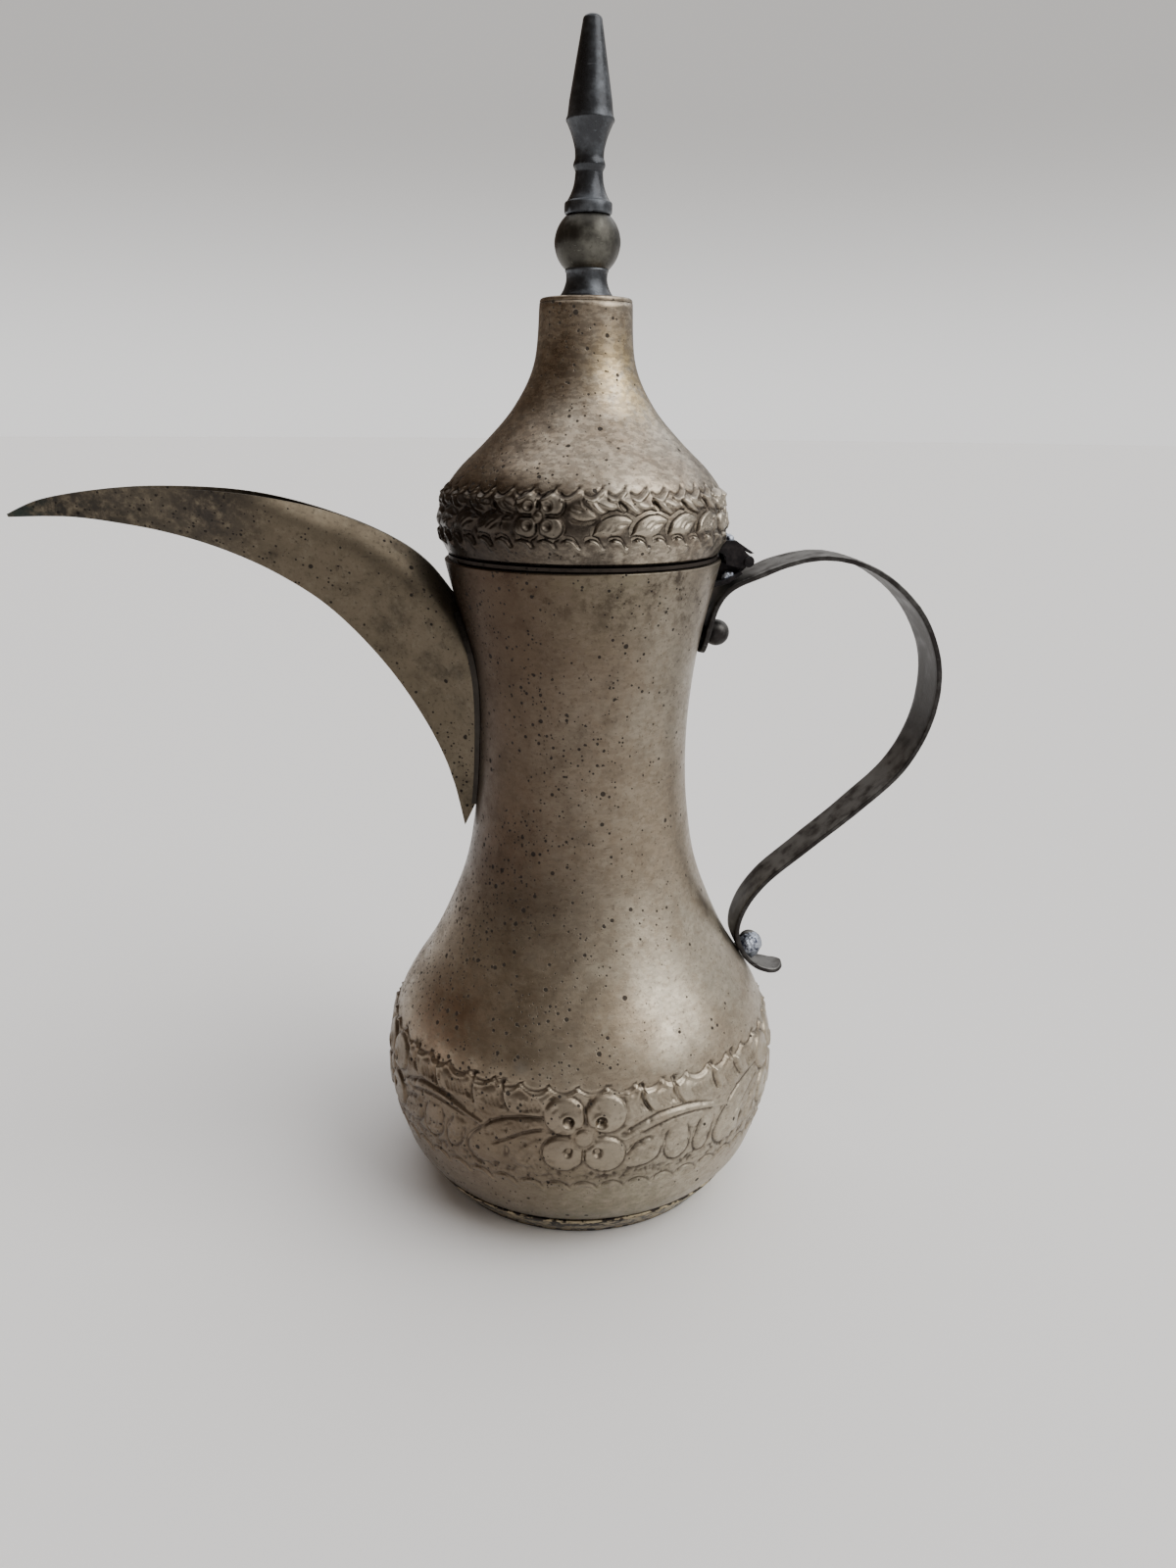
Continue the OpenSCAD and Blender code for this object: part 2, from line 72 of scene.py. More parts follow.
def smooth(points, n):
    steps = (len(points) - 1) * n
    return np.array([along(points, i / steps) for i in range(steps + 1)])


def loop(points, n):
    """The smooth closed curve through points."""
    p = list(points)
    k = len(p)
    curve = smooth(p[-2:] + p + p[:2], n)
    return curve[2 * n : (k + 2) * n]


def beside(p, d):
    """The curve p moved sideways by d, to the left of its direction."""
    t = np.gradient(p, axis=0)
    t /= np.linalg.norm(t, axis=1)[:, None]
    return p + d * np.stack([-t[:, 1], t[:, 0]], 1)


# ---- Meshes ----


def new_piece(name, points, faces, body, material, node, flat_above=180):
    """A mesh from points in millimetres that rides on a CAD body and replaces a CAD node."""
    mesh = bpy.data.meshes.new(name)
    mesh.from_pydata([tuple(p) for p in np.asarray(points) * MM], [], faces)
    mesh.update()
    mesh.validate()
    for polygon in mesh.polygons:
        polygon.use_smooth = True
    if flat_above < 180:
        mesh.set_sharp_from_angle(angle=math.radians(flat_above))
    piece = bpy.data.objects.new(name, mesh)
    bpy.context.scene.collection.objects.link(piece)
    mesh.materials.append(material)
    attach(piece, body)
    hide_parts(node)
    return piece


def store(piece, key, values):
    """Keeps one number for each point of the piece, for its material to read."""
    attribute = piece.data.attributes.new(key, "FLOAT", "POINT")
    attribute.data.foreach_set("value", np.asarray(values, np.float32))


def ring(radius, height, count):
    """A ring of points round the pot's axis."""
    turn = np.arange(count) * TAU / count
    return np.stack([radius * np.cos(turn), radius * np.sin(turn), np.zeros(count) + height], 1)


def skin(rings, closed=False):
    """Faces between rings of points. A ring may have several times as many points as its neighbour."""
    pairs = list(zip(range(len(rings)), range(1, len(rings))))
    if closed:
        pairs.append((len(rings) - 1, 0))
    starts = np.concatenate([[0], np.cumsum([len(r) for r in rings])])
    faces = []
    for i, j in pairs:
        n, m = len(rings[i]), len(rings[j])
        a, b = starts[i], starts[j]
        few = min(n, m)
        for k in range(few):
            lower = [a + (k * (n // few) + q) % n for q in range(n // few + 1)]
            upper = [b + (k * (m // few) + q) % m for q in range(m // few + 1)]
            faces.append(tuple(int(v) for v in lower + upper[::-1]))
    return np.concatenate(rings), faces


def lumps(points, scale, seed):
    """Smooth random offsets, about one unit long, for each point."""
    rng = np.random.default_rng(seed)
    total = np.zeros_like(points)
    for octave in range(4):
        waves = rng.normal(size=(3, 3)) * scale * 1.9**octave
        phase = rng.uniform(0, TAU, 3)
        push = rng.normal(size=(3, 3))
        total += np.sin(points @ waves.T + phase) @ push / 1.9**octave / 4
    return total


LEAN_FROM = 222
LEAN = 0.0185
LEAN_BEND = 12


def leaning(points):
    """The points with the lid's neck and finial leant a little towards the handle, as in the photo."""
    above = np.clip(points[:, 2] - LEAN_FROM, 0, None)
    points[:, 0] += LEAN * above**2 / (above + LEAN_BEND)
    return points


def turned(name, profile, count, material, node, wobble=0.0, seed=0):
    """A turned part of the lid. Its profile, as (radius, height), starts and ends on the axis."""
    points, faces = skin([ring(r, z, count) for r, z in profile[1:-1]])
    if wobble:
        points = points + wobble * lumps(points, 0.5, seed)
    n = len(points)
    points = np.concatenate([points, [[0, 0, profile[0][1]], [0, 0, profile[-1][1]]]])
    for k in range(count):
        faces.append((n, (k + 1) % count, k))
        faces.append((n + 1, n - count + k, n - count + (k + 1) % count))
    new_piece(name, leaning(points), faces, "lid", material, node, flat_above=38)


# ---- The ornament in relief ----


class Relief:
    """Ornament on a band, unrolled flat. s runs round the band from the middle of a flower and z up
    from it. It repeats `count` times round the pot, from the azimuth `turn` in degrees."""

    STEP = 0.12

    def __init__(self, count, radius, turn, middle, low, high):
        self.turn = math.radians(turn)
        self.radius = radius
        self.middle = middle
        self.length = TAU * radius / count
        self.columns = round(self.length / self.STEP)
        self.step = self.length / self.columns
        self.z = np.arange(low, high, self.STEP)
        self.height = np.zeros((len(self.z), self.columns))

    def window(self, points, margin):
        low = np.min(points, 0) - margin
        high = np.max(points, 0) + margin
        columns = np.arange(math.floor(low[0] / self.step), math.ceil(high[0] / self.step) + 1)
        rows = np.flatnonzero((self.z >= low[1]) & (self.z <= high[1]))
        s, z = np.meshgrid(columns * self.step, self.z[rows])
        return np.ix_(rows, columns % self.columns), s, z

    @staticmethod
    def nearest(curve, s, z):
        """Distance from each place to a curve, and how far along the curve the nearest point is."""
        best = np.full(s.shape, np.inf)
        where = np.zeros(s.shape)
        count = len(curve) - 1
        for k in range(count):
            (x0, z0), (dx, dz) = curve[k], curve[k + 1] - curve[k]
            t = np.clip(((s - x0) * dx + (z - z0) * dz) / (dx * dx + dz * dz + 1e-12), 0, 1)
            square = (s - x0 - t * dx) ** 2 + (z - z0 - t * dz) ** 2
            closer = square < best
            best[closer] = square[closer]
            where[closer] = (k + t[closer]) / count
        return np.sqrt(best), where

    def line(self, points, width, height, taper=0.0):
        """A raised or, with a negative height, a chased line. Its ends fade over the fraction taper."""
        curve = smooth(points, 6)
        cells, s, z = self.window(curve, 3 * width)
        away, where = self.nearest(curve, s, z)
        wide = width
        if taper:
            wide = width * np.clip(np.minimum(where, 1 - where) / taper, 0.2, 1)
        self.height[cells] += height * wide / width * np.exp(-((away / wide) ** 2))

    def pillow(self, points, height, edge):
        """A raised shape with a soft edge inside a smooth closed outline."""
        curve = loop(points, 5)
        curve = np.concatenate([curve, curve[:1]])
        cells, s, z = self.window(curve, 1.0)
        inside = np.zeros(s.shape, bool)
        for (x0, z0), (x1, z1) in zip(curve[:-1], curve[1:]):
            crosses = (z0 > z) != (z1 > z)
            inside ^= crosses & (s < x0 + (z - z0) * (x1 - x0) / (z1 - z0 + 1e-12))
        away, _ = self.nearest(curve, s, z)
        raised = np.where(inside, height * (1 - np.exp(-away / edge)), 0)
        self.height[cells] = np.maximum(self.height[cells], raised)

    def dome(self, s0, z0, a, b, height):
        cells, s, z = self.window(np.array([[s0 - a, z0 - b], [s0 + a, z0 + b]]), 0.2)
        left = np.clip(1 - ((s - s0) / a) ** 2 - ((z - z0) / b) ** 2, 0, None)
        self.height[cells] = np.maximum(self.height[cells], height * left**0.4)

    def clear(self, s0, z0, radius, level):
        """Presses a round place flat, down to a level."""
        cells, s, z = self.window(np.array([[s0, z0]]), radius + 1)
        near = 1 - ease(radius - 0.5, radius, np.hypot(s - s0, z - z0))
        self.height[cells] = mid(self.height[cells], level, near)

    def dimple(self, s0, z0, radius, depth):
        cells, s, z = self.window(np.array([[s0, z0]]), 2.5 * radius)
        away = np.hypot(s - s0, z - z0) / radius
        self.height[cells] -= depth * np.exp(-(away**3))
        self.height[cells] += 0.3 * depth * np.exp(-(((away - 1.5) / 0.35) ** 2))

    def circle(self, s0, z0, a, b, width, height):
        turn = np.linspace(0, TAU, 13)
        self.line(np.stack([s0 + a * np.cos(turn), z0 + b * np.sin(turn)], 1), width, height)

    def hatching(self, start, step, stroke, count, width, depth):
        """Short parallel strokes: the first from start, each next one a step further."""
        start, step, stroke = (np.array(v, float) for v in (start, step, stroke))
        for k in range(count):
            a = start + k * step
            bend = np.array([stroke[1], -stroke[0]]) * 0.08
            self.line([a, a + stroke / 2 + bend, a + stroke], width, -depth, taper=0.35)

    def soften(self, rounds):
        for _ in range(rounds):
            h = self.height
            h = (np.roll(h, 1, 1) + 2 * h + np.roll(h, -1, 1)) / 4
            padded = np.pad(h, ((1, 1), (0, 0)), mode="edge")
            self.height = (padded[:-2] + 2 * h + padded[2:]) / 4

    def at(self, azimuth, height):
        """Relief in millimetres at these azimuths, in radians, at one height above the table."""
        row = (height - self.middle - self.z[0]) / self.STEP
        if row < 0 or row > len(self.z) - 1.001:
            return np.zeros(len(azimuth))
        i, f = int(row), row - int(row)
        line = mid(self.height[i], self.height[i + 1], f)
        x = (azimuth - self.turn) * self.radius / self.step
        j = np.floor(x).astype(int)
        return mid(line[j % self.columns], line[(j + 1) % self.columns], x - j)


def shifted(points, ds, dz=0.0):
    return [(s + ds, z + dz) for s, z in points]


BELLY_R = 59.3
FLOWER_Z = 41.6
BELLY_TURN = -94
REPEATS = 5


def belly_flower(relief):
    """Four broad petals, each with a deep dimple, round a flat ringed boss."""
    petals = [(-5.3, 6.0, -4.1, 4.9), (6.3, 6.6, 4.9, 4.8), (-5.7, -5.0, -4.3, -4.3), (5.8, -5.3, 3.9, -4.4)]
    for s, z, _, _ in petals:
        relief.dome(s, z, 5.9, 5.4, 0.95)
    for s, z, _, _ in petals:
        relief.circle(s, z, 6.0, 5.5, 0.34, -0.5)
        relief.circle(s, z, 5.0, 4.5, 0.8, 0.12)
    for _, _, s, z in petals:
        relief.dimple(s, z, 1.35, 1.35)
        relief.line([(s * 0.6, z * 0.6), (s * 0.92, z * 0.92)], 0.7, -0.45)
    relief.clear(0, 0, 3.6, 0.35)
    relief.dome(0, 0, 3.4, 3.4, 0.75)
    relief.circle(0, 0, 2.75, 2.75, 0.3, -0.5)


def belly_ornament():
    """A branch with leaf lobes above it and hanging leaves below, from one flower to the next."""
    relief = Relief(REPEATS, BELLY_R, BELLY_TURN, FLOWER_Z, -14.5, 15)
    p = relief.length

    # Leaf lobes above the branch: from one valley to the next, with a cusped upper edge
    valleys = [(11.2, 10.4), (16.8, 19.6), (26.8, 29.8), (41.0, 42.6), (50.8, 53.6), (65.6, 65.0)]
    for (top0, foot0), (top1, foot1) in zip(valleys[:-1], valleys[1:]):
        relief.pillow(
            [(foot0 + 0.4, 5.6), (top0 + 0.5, 8.6), (top0 + 0.6, 12.2), (mid(top0, top1, 0.5), 11.4),
             (top1 - 0.4, 12.2), (top1 - 0.2, 8.8), (foot1 - 0.6, 5.6), (mid(foot0, foot1, 0.5), 5.2)],
            0.75, 0.9,
        )
    # Above the branch's ends, where the lobes reach down between the stems
    relief.pillow([(41.6, 4.4), (43, 8), (49, 9), (52.5, 6), (50, 3.6), (46.5, 2.4)], 0.4, 0.9)
    relief.pillow([(11.5, 1.8), (11.8, 6), (15, 8), (19, 6.4), (16, 4.4)], 0.4, 0.9)

    # The upper edge
    arcs = 9
    pitch = p / arcs
    for k in range(arcs):
        t = np.linspace(-0.5, 0.5, 7)
        arc = np.stack([10.7 + (k + t) * pitch, 11.3 + 1.6 * (2 * t) ** 2], 1)
        relief.line(arc, 0.45, 0.5)
        relief.line(arc + [0, 0.8], 0.36, -0.42)
    for top, foot in valleys[1:-1]:
        valley = [(top, 12.6), (mid(top, foot, 0.2), 9.4), (mid(top, foot, 0.6), 7.2), (foot, 5.6)]
        relief.line(valley, 0.42, -0.6, taper=0.12)
        relief.line(shifted(valley, 0.95), 0.55, 0.45, taper=0.2)
        relief.dimple(top, 13.4, 0.8, 0.8)
    for start, count in (((12.8, 9.6), 4), ((20.8, 10.2), 4), ((32, 10.2), 6), ((45, 9.9), 4), ((56, 10), 5)):
        relief.hatching(start, (1.35, 0.1), (2.6, -4.2), count, 0.4, 0.62)

    # The branch, a pair of lines round a raised rib
    upper = [(10.6, 0.4), (16.3, 3.0), (21.7, 4.8), (27, 5.3), (31.5, 5.0), (36, 4.1), (41, 2.6), (46.6, 1.0)]
    lower = [(9.6, -2.2), (13.6, -1.2), (18.1, 0.5), (22.5, 1.7), (27, 2.4), (31.5, 2.4), (36, 1.8),
             (40.4, 0.8), (44.4, -0.4)]
    rib = [(11.5, -0.7), (17.2, 1.9), (22.1, 3.3), (27, 3.9), (33, 3.6), (39, 2.3), (45, 0.4)]
    relief.line(rib, 1.1, 0.5)
    relief.line(upper, 0.36, -0.62)
    relief.line(lower, 0.36, -0.62)

    # Leaves that hang from the branch
    leaves = [
        [(20.3, -1.2), (14.6, -3), (11.9, -6), (11.2, -9.4), (13.5, -10.6), (17.8, -10.1), (21.2, -8),
         (22.2, -4.6)],
        [(24.9, -0.4), (23.4, -3.6), (23.3, -8), (25.2, -10.4), (28, -10.4), (30.6, -8), (31.2, -4),
         (30.4, 0.3)],
        [(36, -0.2), (33.5, -3.6), (32.5, -7.2), (33.5, -10.2), (36, -10.3), (38.2, -7.5), (39.2, -4),
         (41, -1.6)],
        shifted([(-10.4, -0.9), (-12, -6), (-13.6, -9.6), (-16.8, -11), (-19.6, -9), (-18.6, -5),
                 (-14.6, -1.8)], p),
    ]
    for leaf in leaves:
        relief.pillow(leaf, 0.55, 0.9)
    for leaf in leaves:
        relief.line(leaf, 0.36, -0.6, taper=0.05)
    for start, count in (((12.6, -8.4), 5), ((24.6, -8.6), 4), ((33.8, -8.6), 3)):
        relief.hatching(start, (1.4, 0.4), (2.4, 3.8), count, 0.38, 0.5)
    relief.hatching((p - 18, -8.8), (1.2, -0.2), (3.2, 4.4), 5, 0.38, 0.55)
    relief.hatching((p - 30.5, 7), (1.3, -0.3), (2.4, -3.6), 4, 0.38, 0.5)

    # The curl at the branch's end, its bud, and the calyx that carries the next flower
    curl = [(-26.6, 1.6), (-29.9, -1.2), (-33.2, -4.4), (-34.4, -8), (-33, -11), (-30.4, -12.8)]
    inner = [(-8.6, 0.9), (-11, 1.6), (-13.8, 1.3), (-18.2, -0.6), (-21.8, -2.6), (-25, -4.2), (-26.9, -6),
             (-26.2, -7.8)]
    calyx = [(-26.6, 1.7), (-22.7, 3.5), (-18.2, 4.5), (-13.8, 5.1), (-10.2, 5.1)]
    swell = [(-10.4, 4.6), (-18, 4), (-26, 1.2), (-32.4, -4.6), (-33.4, -8.6), (-30, -12), (-24.5, -11),
             (-22.5, -6.5), (-20, -2.2), (-13.8, 1), (-9.4, 1.4)]
    relief.pillow(shifted(swell, p), 0.4, 1.0)
    relief.line(shifted(curl, p), 0.38, -0.62)
    relief.line(shifted(inner, p), 0.38, -0.6, taper=0.1)
    relief.line(shifted(calyx, p), 0.36, -0.58)
    relief.dome(p - 26.4, -7.4, 2.3, 2.8, 0.55)
    relief.line(shifted([(-22.7, -4), (-21.7, -6.6), (-23.2, -9.4)], p), 0.8, -0.62, taper=0.4)
    for s, z in ((-15.4, 2.6), (-21.6, 0.6), (-25.6, -1.4)):
        relief.dimple(p + s, z, 0.55, 0.4)
    belly_flower(relief)

    # Stippled ground, first below the leaves and then among them
    rng = np.random.default_rng(3)
    for low, high, reach, depth in ((-14, -10.2, (0.8, 0.8), 0.22), (-10, 11, (0.9, 0.5), 0.2)):
        for _ in range(190):
            s, z = rng.uniform(0, p), rng.uniform(low, high)
            dx, dz = rng.normal(size=2) * reach
            relief.line([(s, z), (s + dx, z + dz)], 0.32, -depth)
    relief.soften(1)
    return relief


def lower_border():
    """Forty-eight small arcs below the belly's ornament, doubled at their cusps."""
    relief = Relief(48, BELLY_R, BELLY_TURN, 25.6, -4, 4)
    p = relief.length
    t = np.linspace(-0.5, 0.5, 7)
    arc = np.stack([t * p, 1.5 - 2.5 * (2 * np.abs(t)) ** 2.2], 1)
    relief.line(arc, 0.36, -0.45)
    relief.line(arc + [0, -0.8], 0.5, 0.32)
    for side in (-1, 1):
        cusp = [(side * 0.32 * p, 1.5), (side * 0.42 * p, 0.6), (side * 0.5 * p, -0.6)]
        relief.line(cusp, 0.26, -0.26, 0.3)
    relief.soften(1)
    return relief


LID_R = 39.5


def lid_flower(relief):
    """Four round petals, each with a pit that holds a small ball, round a ringed boss."""
    petals = [(-1, -1), (-1, 1), (1, -1), (1, 1)]
    for s, z in petals:
        relief.dome(s * 3.25, z * 2.75, 3.3, 2.9, 1.15)
    for s, z in petals:
        relief.circle(s * 3.25, z * 2.75, 3.4, 3.0, 0.36, -0.5)
        relief.dimple(s * 2.5, z * 2.3, 0.95, 0.8)
    relief.clear(0, 0, 1.9, 0.5)
    relief.dome(0, 0, 1.75, 1.75, 1.0)
    relief.circle(0, 0, 1.15, 1.15, 0.26, -0.4)


def lid_ornament():
    """Leaves in two rows that sweep away from a flower, four times round the lid."""
    relief = Relief(4, LID_R, -111.6, 202.7, -8, 7)
    p = relief.length
    upper = [9.3 * k for k in range(5)]
    lower = [0, 9.9, 20.2, 30.4]
    # Upper leaves: crescents that sweep down to the right, each parted from the next by a gouge
    crescent = [(11.0, 4.2), (14.5, 4.4), (18.8, 3.4), (20.4, 2), (18, 0.6), (15, -0.2), (12.8, 1.2)]
    for shift in upper:
        relief.pillow(shifted(crescent, shift), 1.35, 1.2)
    for shift in upper:
        outer = shifted([(11.2, 4.3), (12.2, 2.4), (13.8, 0.9), (16.9, -0.3)], shift)
        inner = shifted([(14.2, 3.9), (15.4, 2.4), (17.2, 1.4), (19.4, 0.9)], shift)
        relief.line(outer, 0.6, -1.3, taper=0.3)
        relief.line(shifted(outer, -0.85, -0.4), 0.45, 0.65, taper=0.3)
        relief.line(inner, 0.5, -0.8, taper=0.35)
    # Lower leaves: rounded, with a vein inside
    for shift in lower:
        leaf = [(13.6, -4.6), (14.8, -1.6), (18.2, 0.2), (21.6, 0.2), (24.6, -1.2), (22.6, -2.8), (20.4, -5),
                (17, -5.2)]
        relief.pillow(shifted(leaf, shift), 1.25, 1.3)
    for shift in lower:
        rim = [(13.2, -4.8), (14.4, -1.5), (18, 0.6), (21.6, 0.6), (25.4, -1.0)]
        relief.line(shifted(rim, shift), 0.45, -0.95, taper=0.1)
        relief.line(shifted(rim, shift + 0.7, -0.6), 0.4, 0.35, taper=0.2)
        relief.line(shifted([(17.8, -3.8), (20, -2.1), (23.4, -1.6)], shift), 0.4, -0.6, taper=0.3)
        relief.line(shifted([(16.2, -4), (18.4, -1.8), (21, -1.0)], shift), 0.36, -0.35, taper=0.4)
    # A small leaf on one side of the flower and a lobe on the other
    relief.pillow([(7.6, 1.6), (9.6, 2.9), (12.4, 2.4), (15, 0), (13, -1.6), (9.6, -1.2)], 0.8, 0.7)
    relief.line([(7.4, -0.4), (9.6, -1.4), (12.4, -1.5), (15.2, -0.6)], 0.45, -0.8, taper=0.25)
    relief.line([(7.8, 1.9), (9.8, 1.7), (12, 0.9)], 0.4, -0.5, taper=0.3)
    relief.pillow(shifted([(-11, -1), (-9, 0.2), (-7.4, -1.4), (-7.4, -4.6), (-10, -5)], p), 0.6, 0.8)
    round_lobe = [(-10.6, -4.8), (-10.4, -1.4), (-8.4, 0.2), (-7, -0.6)]
    relief.line(shifted(round_lobe, p), 0.4, -0.6, taper=0.2)
    lid_flower(relief)
    relief.soften(1)
    return relief


def lid_upper_edge():
    """Forty hanging arcs whose cusps point up."""
    relief = Relief(40, LID_R, -114.9, 206.9, -3, 4)
    p = relief.length
    t = np.linspace(0, 1, 9)
    arc = np.stack([t * p, 1.9 * (2 * np.abs(t - 0.5)) ** 1.7], 1)
    relief.line(arc - [0, 0.45], 0.45, 0.75)
    relief.line(arc + [0, 0.4], 0.38, -0.55)
    relief.soften(1)
    return relief


def lid_lower_edge():
    """Forty-two crescents under the lid's ornament."""
    relief = Relief(42, LID_R, -92.4, 195.6, -3, 4)
    p = relief.length
    t = np.linspace(-0.5, 0.5, 9)
    arc = np.stack([t * p, 1.95 - 2.2 * (2 * np.abs(t)) ** 2.4], 1)
    relief.line(arc - [0, 1.0], 0.8, 0.75)
    relief.line(arc + [0, 0.1], 0.4, -0.75)
    relief.soften(1)
    return relief


# ---- Materials ----


class Nodes:
    """Short ways to build a tree of shader nodes."""

    def __init__(self, tree):
        self.tree = tree

    def add(self, kind, inputs=None, **settings):
        node = self.tree.nodes.new(kind)
        for key, value in settings.items():
            setattr(node, key, value)
        for key, value in (inputs or {}).items():
            self.put(node.inputs[key], value)
        return node

    def put(self, socket, value):
        if isinstance(value, bpy.types.NodeSocket):
            self.tree.links.new(value, socket)
        else:
            socket.default_value = value

    def math(self, operation, *values, clamp=False):
        node = self.add("ShaderNodeMath", operation=operation, use_clamp=clamp)
        for socket, value in zip(node.inputs, values):
            self.put(socket, value)
        return node.outputs[0]

    def product(self, *values):
        total = values[0]
        for value in values[1:]:
            total = self.math("MULTIPLY", total, value)
        return total

    def total(self, *terms):
        """The sum of several values, each given with its weight."""
        total = 0.0
        for value, weight in terms:
            total = self.math("MULTIPLY_ADD", value, weight, total)
        return total

    def span(self, value, low, high, to_low=0.0, to_high=1.0):
        """Takes value from low...high to to_low...to_high, smoothly and with a stop at each end."""
        node = self.add(
            "ShaderNodeMapRange",
            {"Value": value, "From Min": low, "From Max": high, "To Min": to_low, "To Max": to_high},
            interpolation_type="SMOOTHSTEP",
        )
        return node.outputs["Result"]

    def mix(self, a, b, factor):
        node = self.add("ShaderNodeMix", data_type="RGBA")
        self.put(node.inputs["Factor"], factor)
        self.put(node.inputs[6], a if isinstance(a, bpy.types.NodeSocket) else (*a, 1))
        self.put(node.inputs[7], b if isinstance(b, bpy.types.NodeSocket) else (*b, 1))
        return node.outputs[2]


class Paint(Nodes):
    """A metal built from nodes, in coats. Lengths in its textures are millimetres on the object."""

    def __init__(self, name, colour):
        self.material = bpy.data.materials.new(name)
        self.material.use_nodes = True
        super().__init__(self.material.node_tree)
        self.colour = colour
        place = self.add("ShaderNodeTexCoord").outputs["Object"]
        self.place = self.stretch(place, (1 / MM, 1 / MM, 1 / MM))

    def coat(self, colour, *amounts):
        """Covers what is there with a colour, by the product of these amounts."""
        self.colour = self.mix(self.colour, colour, self.product(*amounts))

    def finish(self, roughness, metallic, height, strength=0.5):
        shader = self.tree.nodes["Principled BSDF"]
        bump = self.add("ShaderNodeBump", {"Height": height, "Distance": MM, "Strength": strength})
        self.put(shader.inputs["Base Color"], self.colour)
        self.put(shader.inputs["Roughness"], roughness)
        self.put(shader.inputs["Metallic"], metallic)
        self.put(shader.inputs["Normal"], bump.outputs["Normal"])
        return self.material

    def attribute(self, name):
        return self.add("ShaderNodeAttribute", attribute_name=name).outputs["Fac"]

    def stretch(self, vector, scale, turn=(0, 0, 0)):
        rotation = tuple(math.radians(t) for t in turn)
        node = self.add("ShaderNodeMapping", {"Vector": vector, "Rotation": rotation, "Scale": scale})
        return node.outputs["Vector"]

    def vector_math(self, operation, a, b):
        node = self.add("ShaderNodeVectorMath", operation=operation)
        self.put(node.inputs[0], a)
        self.put(node.inputs[1], b)
        return node

    def noise(self, size, detail, rough, seed, stretch=(1, 1, 1), turn=(0, 0, 0)):
        """Noise whose patches are about size across."""
        node = self.add(
            "ShaderNodeTexNoise",
            {"Vector": self.stretch(self.place, stretch, turn), "Scale": 1 / size, "Detail": detail,
             "Roughness": rough, "W": seed},
            noise_dimensions="4D",
        )
        return node.outputs["Fac"]

    def scratches(self, size, turn, amount, seed):
        """Fine parallel scratches, turned about X, Y and Z by these degrees. Returns 1 in a scratch."""
        streaks = self.noise(size, 1, 0.5, seed, (0.05, 1, 1), turn)
        return self.span(streaks, 0.74 - amount, 0.80 - amount)

    def spots(self, size, density, radius, seed):
        """Round spots, at most one to a cell of this size. `density` is the share of cells that have
        one and `radius` the largest spot, in cells. Returns 1 inside a spot."""
        moved = self.vector_math("ADD", self.place, (17.3 * seed, -9.1 * seed, 5.7 * seed))
        node = self.add(
            "ShaderNodeTexVoronoi",
            {"Vector": moved.outputs["Vector"], "Scale": 1 / size, "Randomness": 0.9},
        )
        part = self.add("ShaderNodeSeparateColor", {"Color": node.outputs["Color"]})
        chosen = self.math("GREATER_THAN", density, part.outputs["Red"])
        wide = self.span(part.outputs["Green"], 0.0, 1.0, 0.35 * radius, radius)
        inside = self.math("SUBTRACT", self.product(wide, chosen), node.outputs["Distance"])
        return self.span(inside, 0.0, 0.05)

    def near(self, centre, radius):
        """1 at a place on the object, falling to 0 at this radius."""
        away = self.vector_math("DISTANCE", self.place, centre).outputs["Value"]
        return self.span(away, 0.0, radius, 1.0, 0.0)

    def facing_up(self, low, high):
        """0 where the surface's slope is below low, 1 where it is above high."""
        normal = self.add("ShaderNodeNewGeometry").outputs["Normal"]
        slope = self.add("ShaderNodeSeparateXYZ", {"Vector": normal}).outputs["Z"]
        return self.span(slope, low, high)


SOOT = (0.020, 0.016, 0.014)


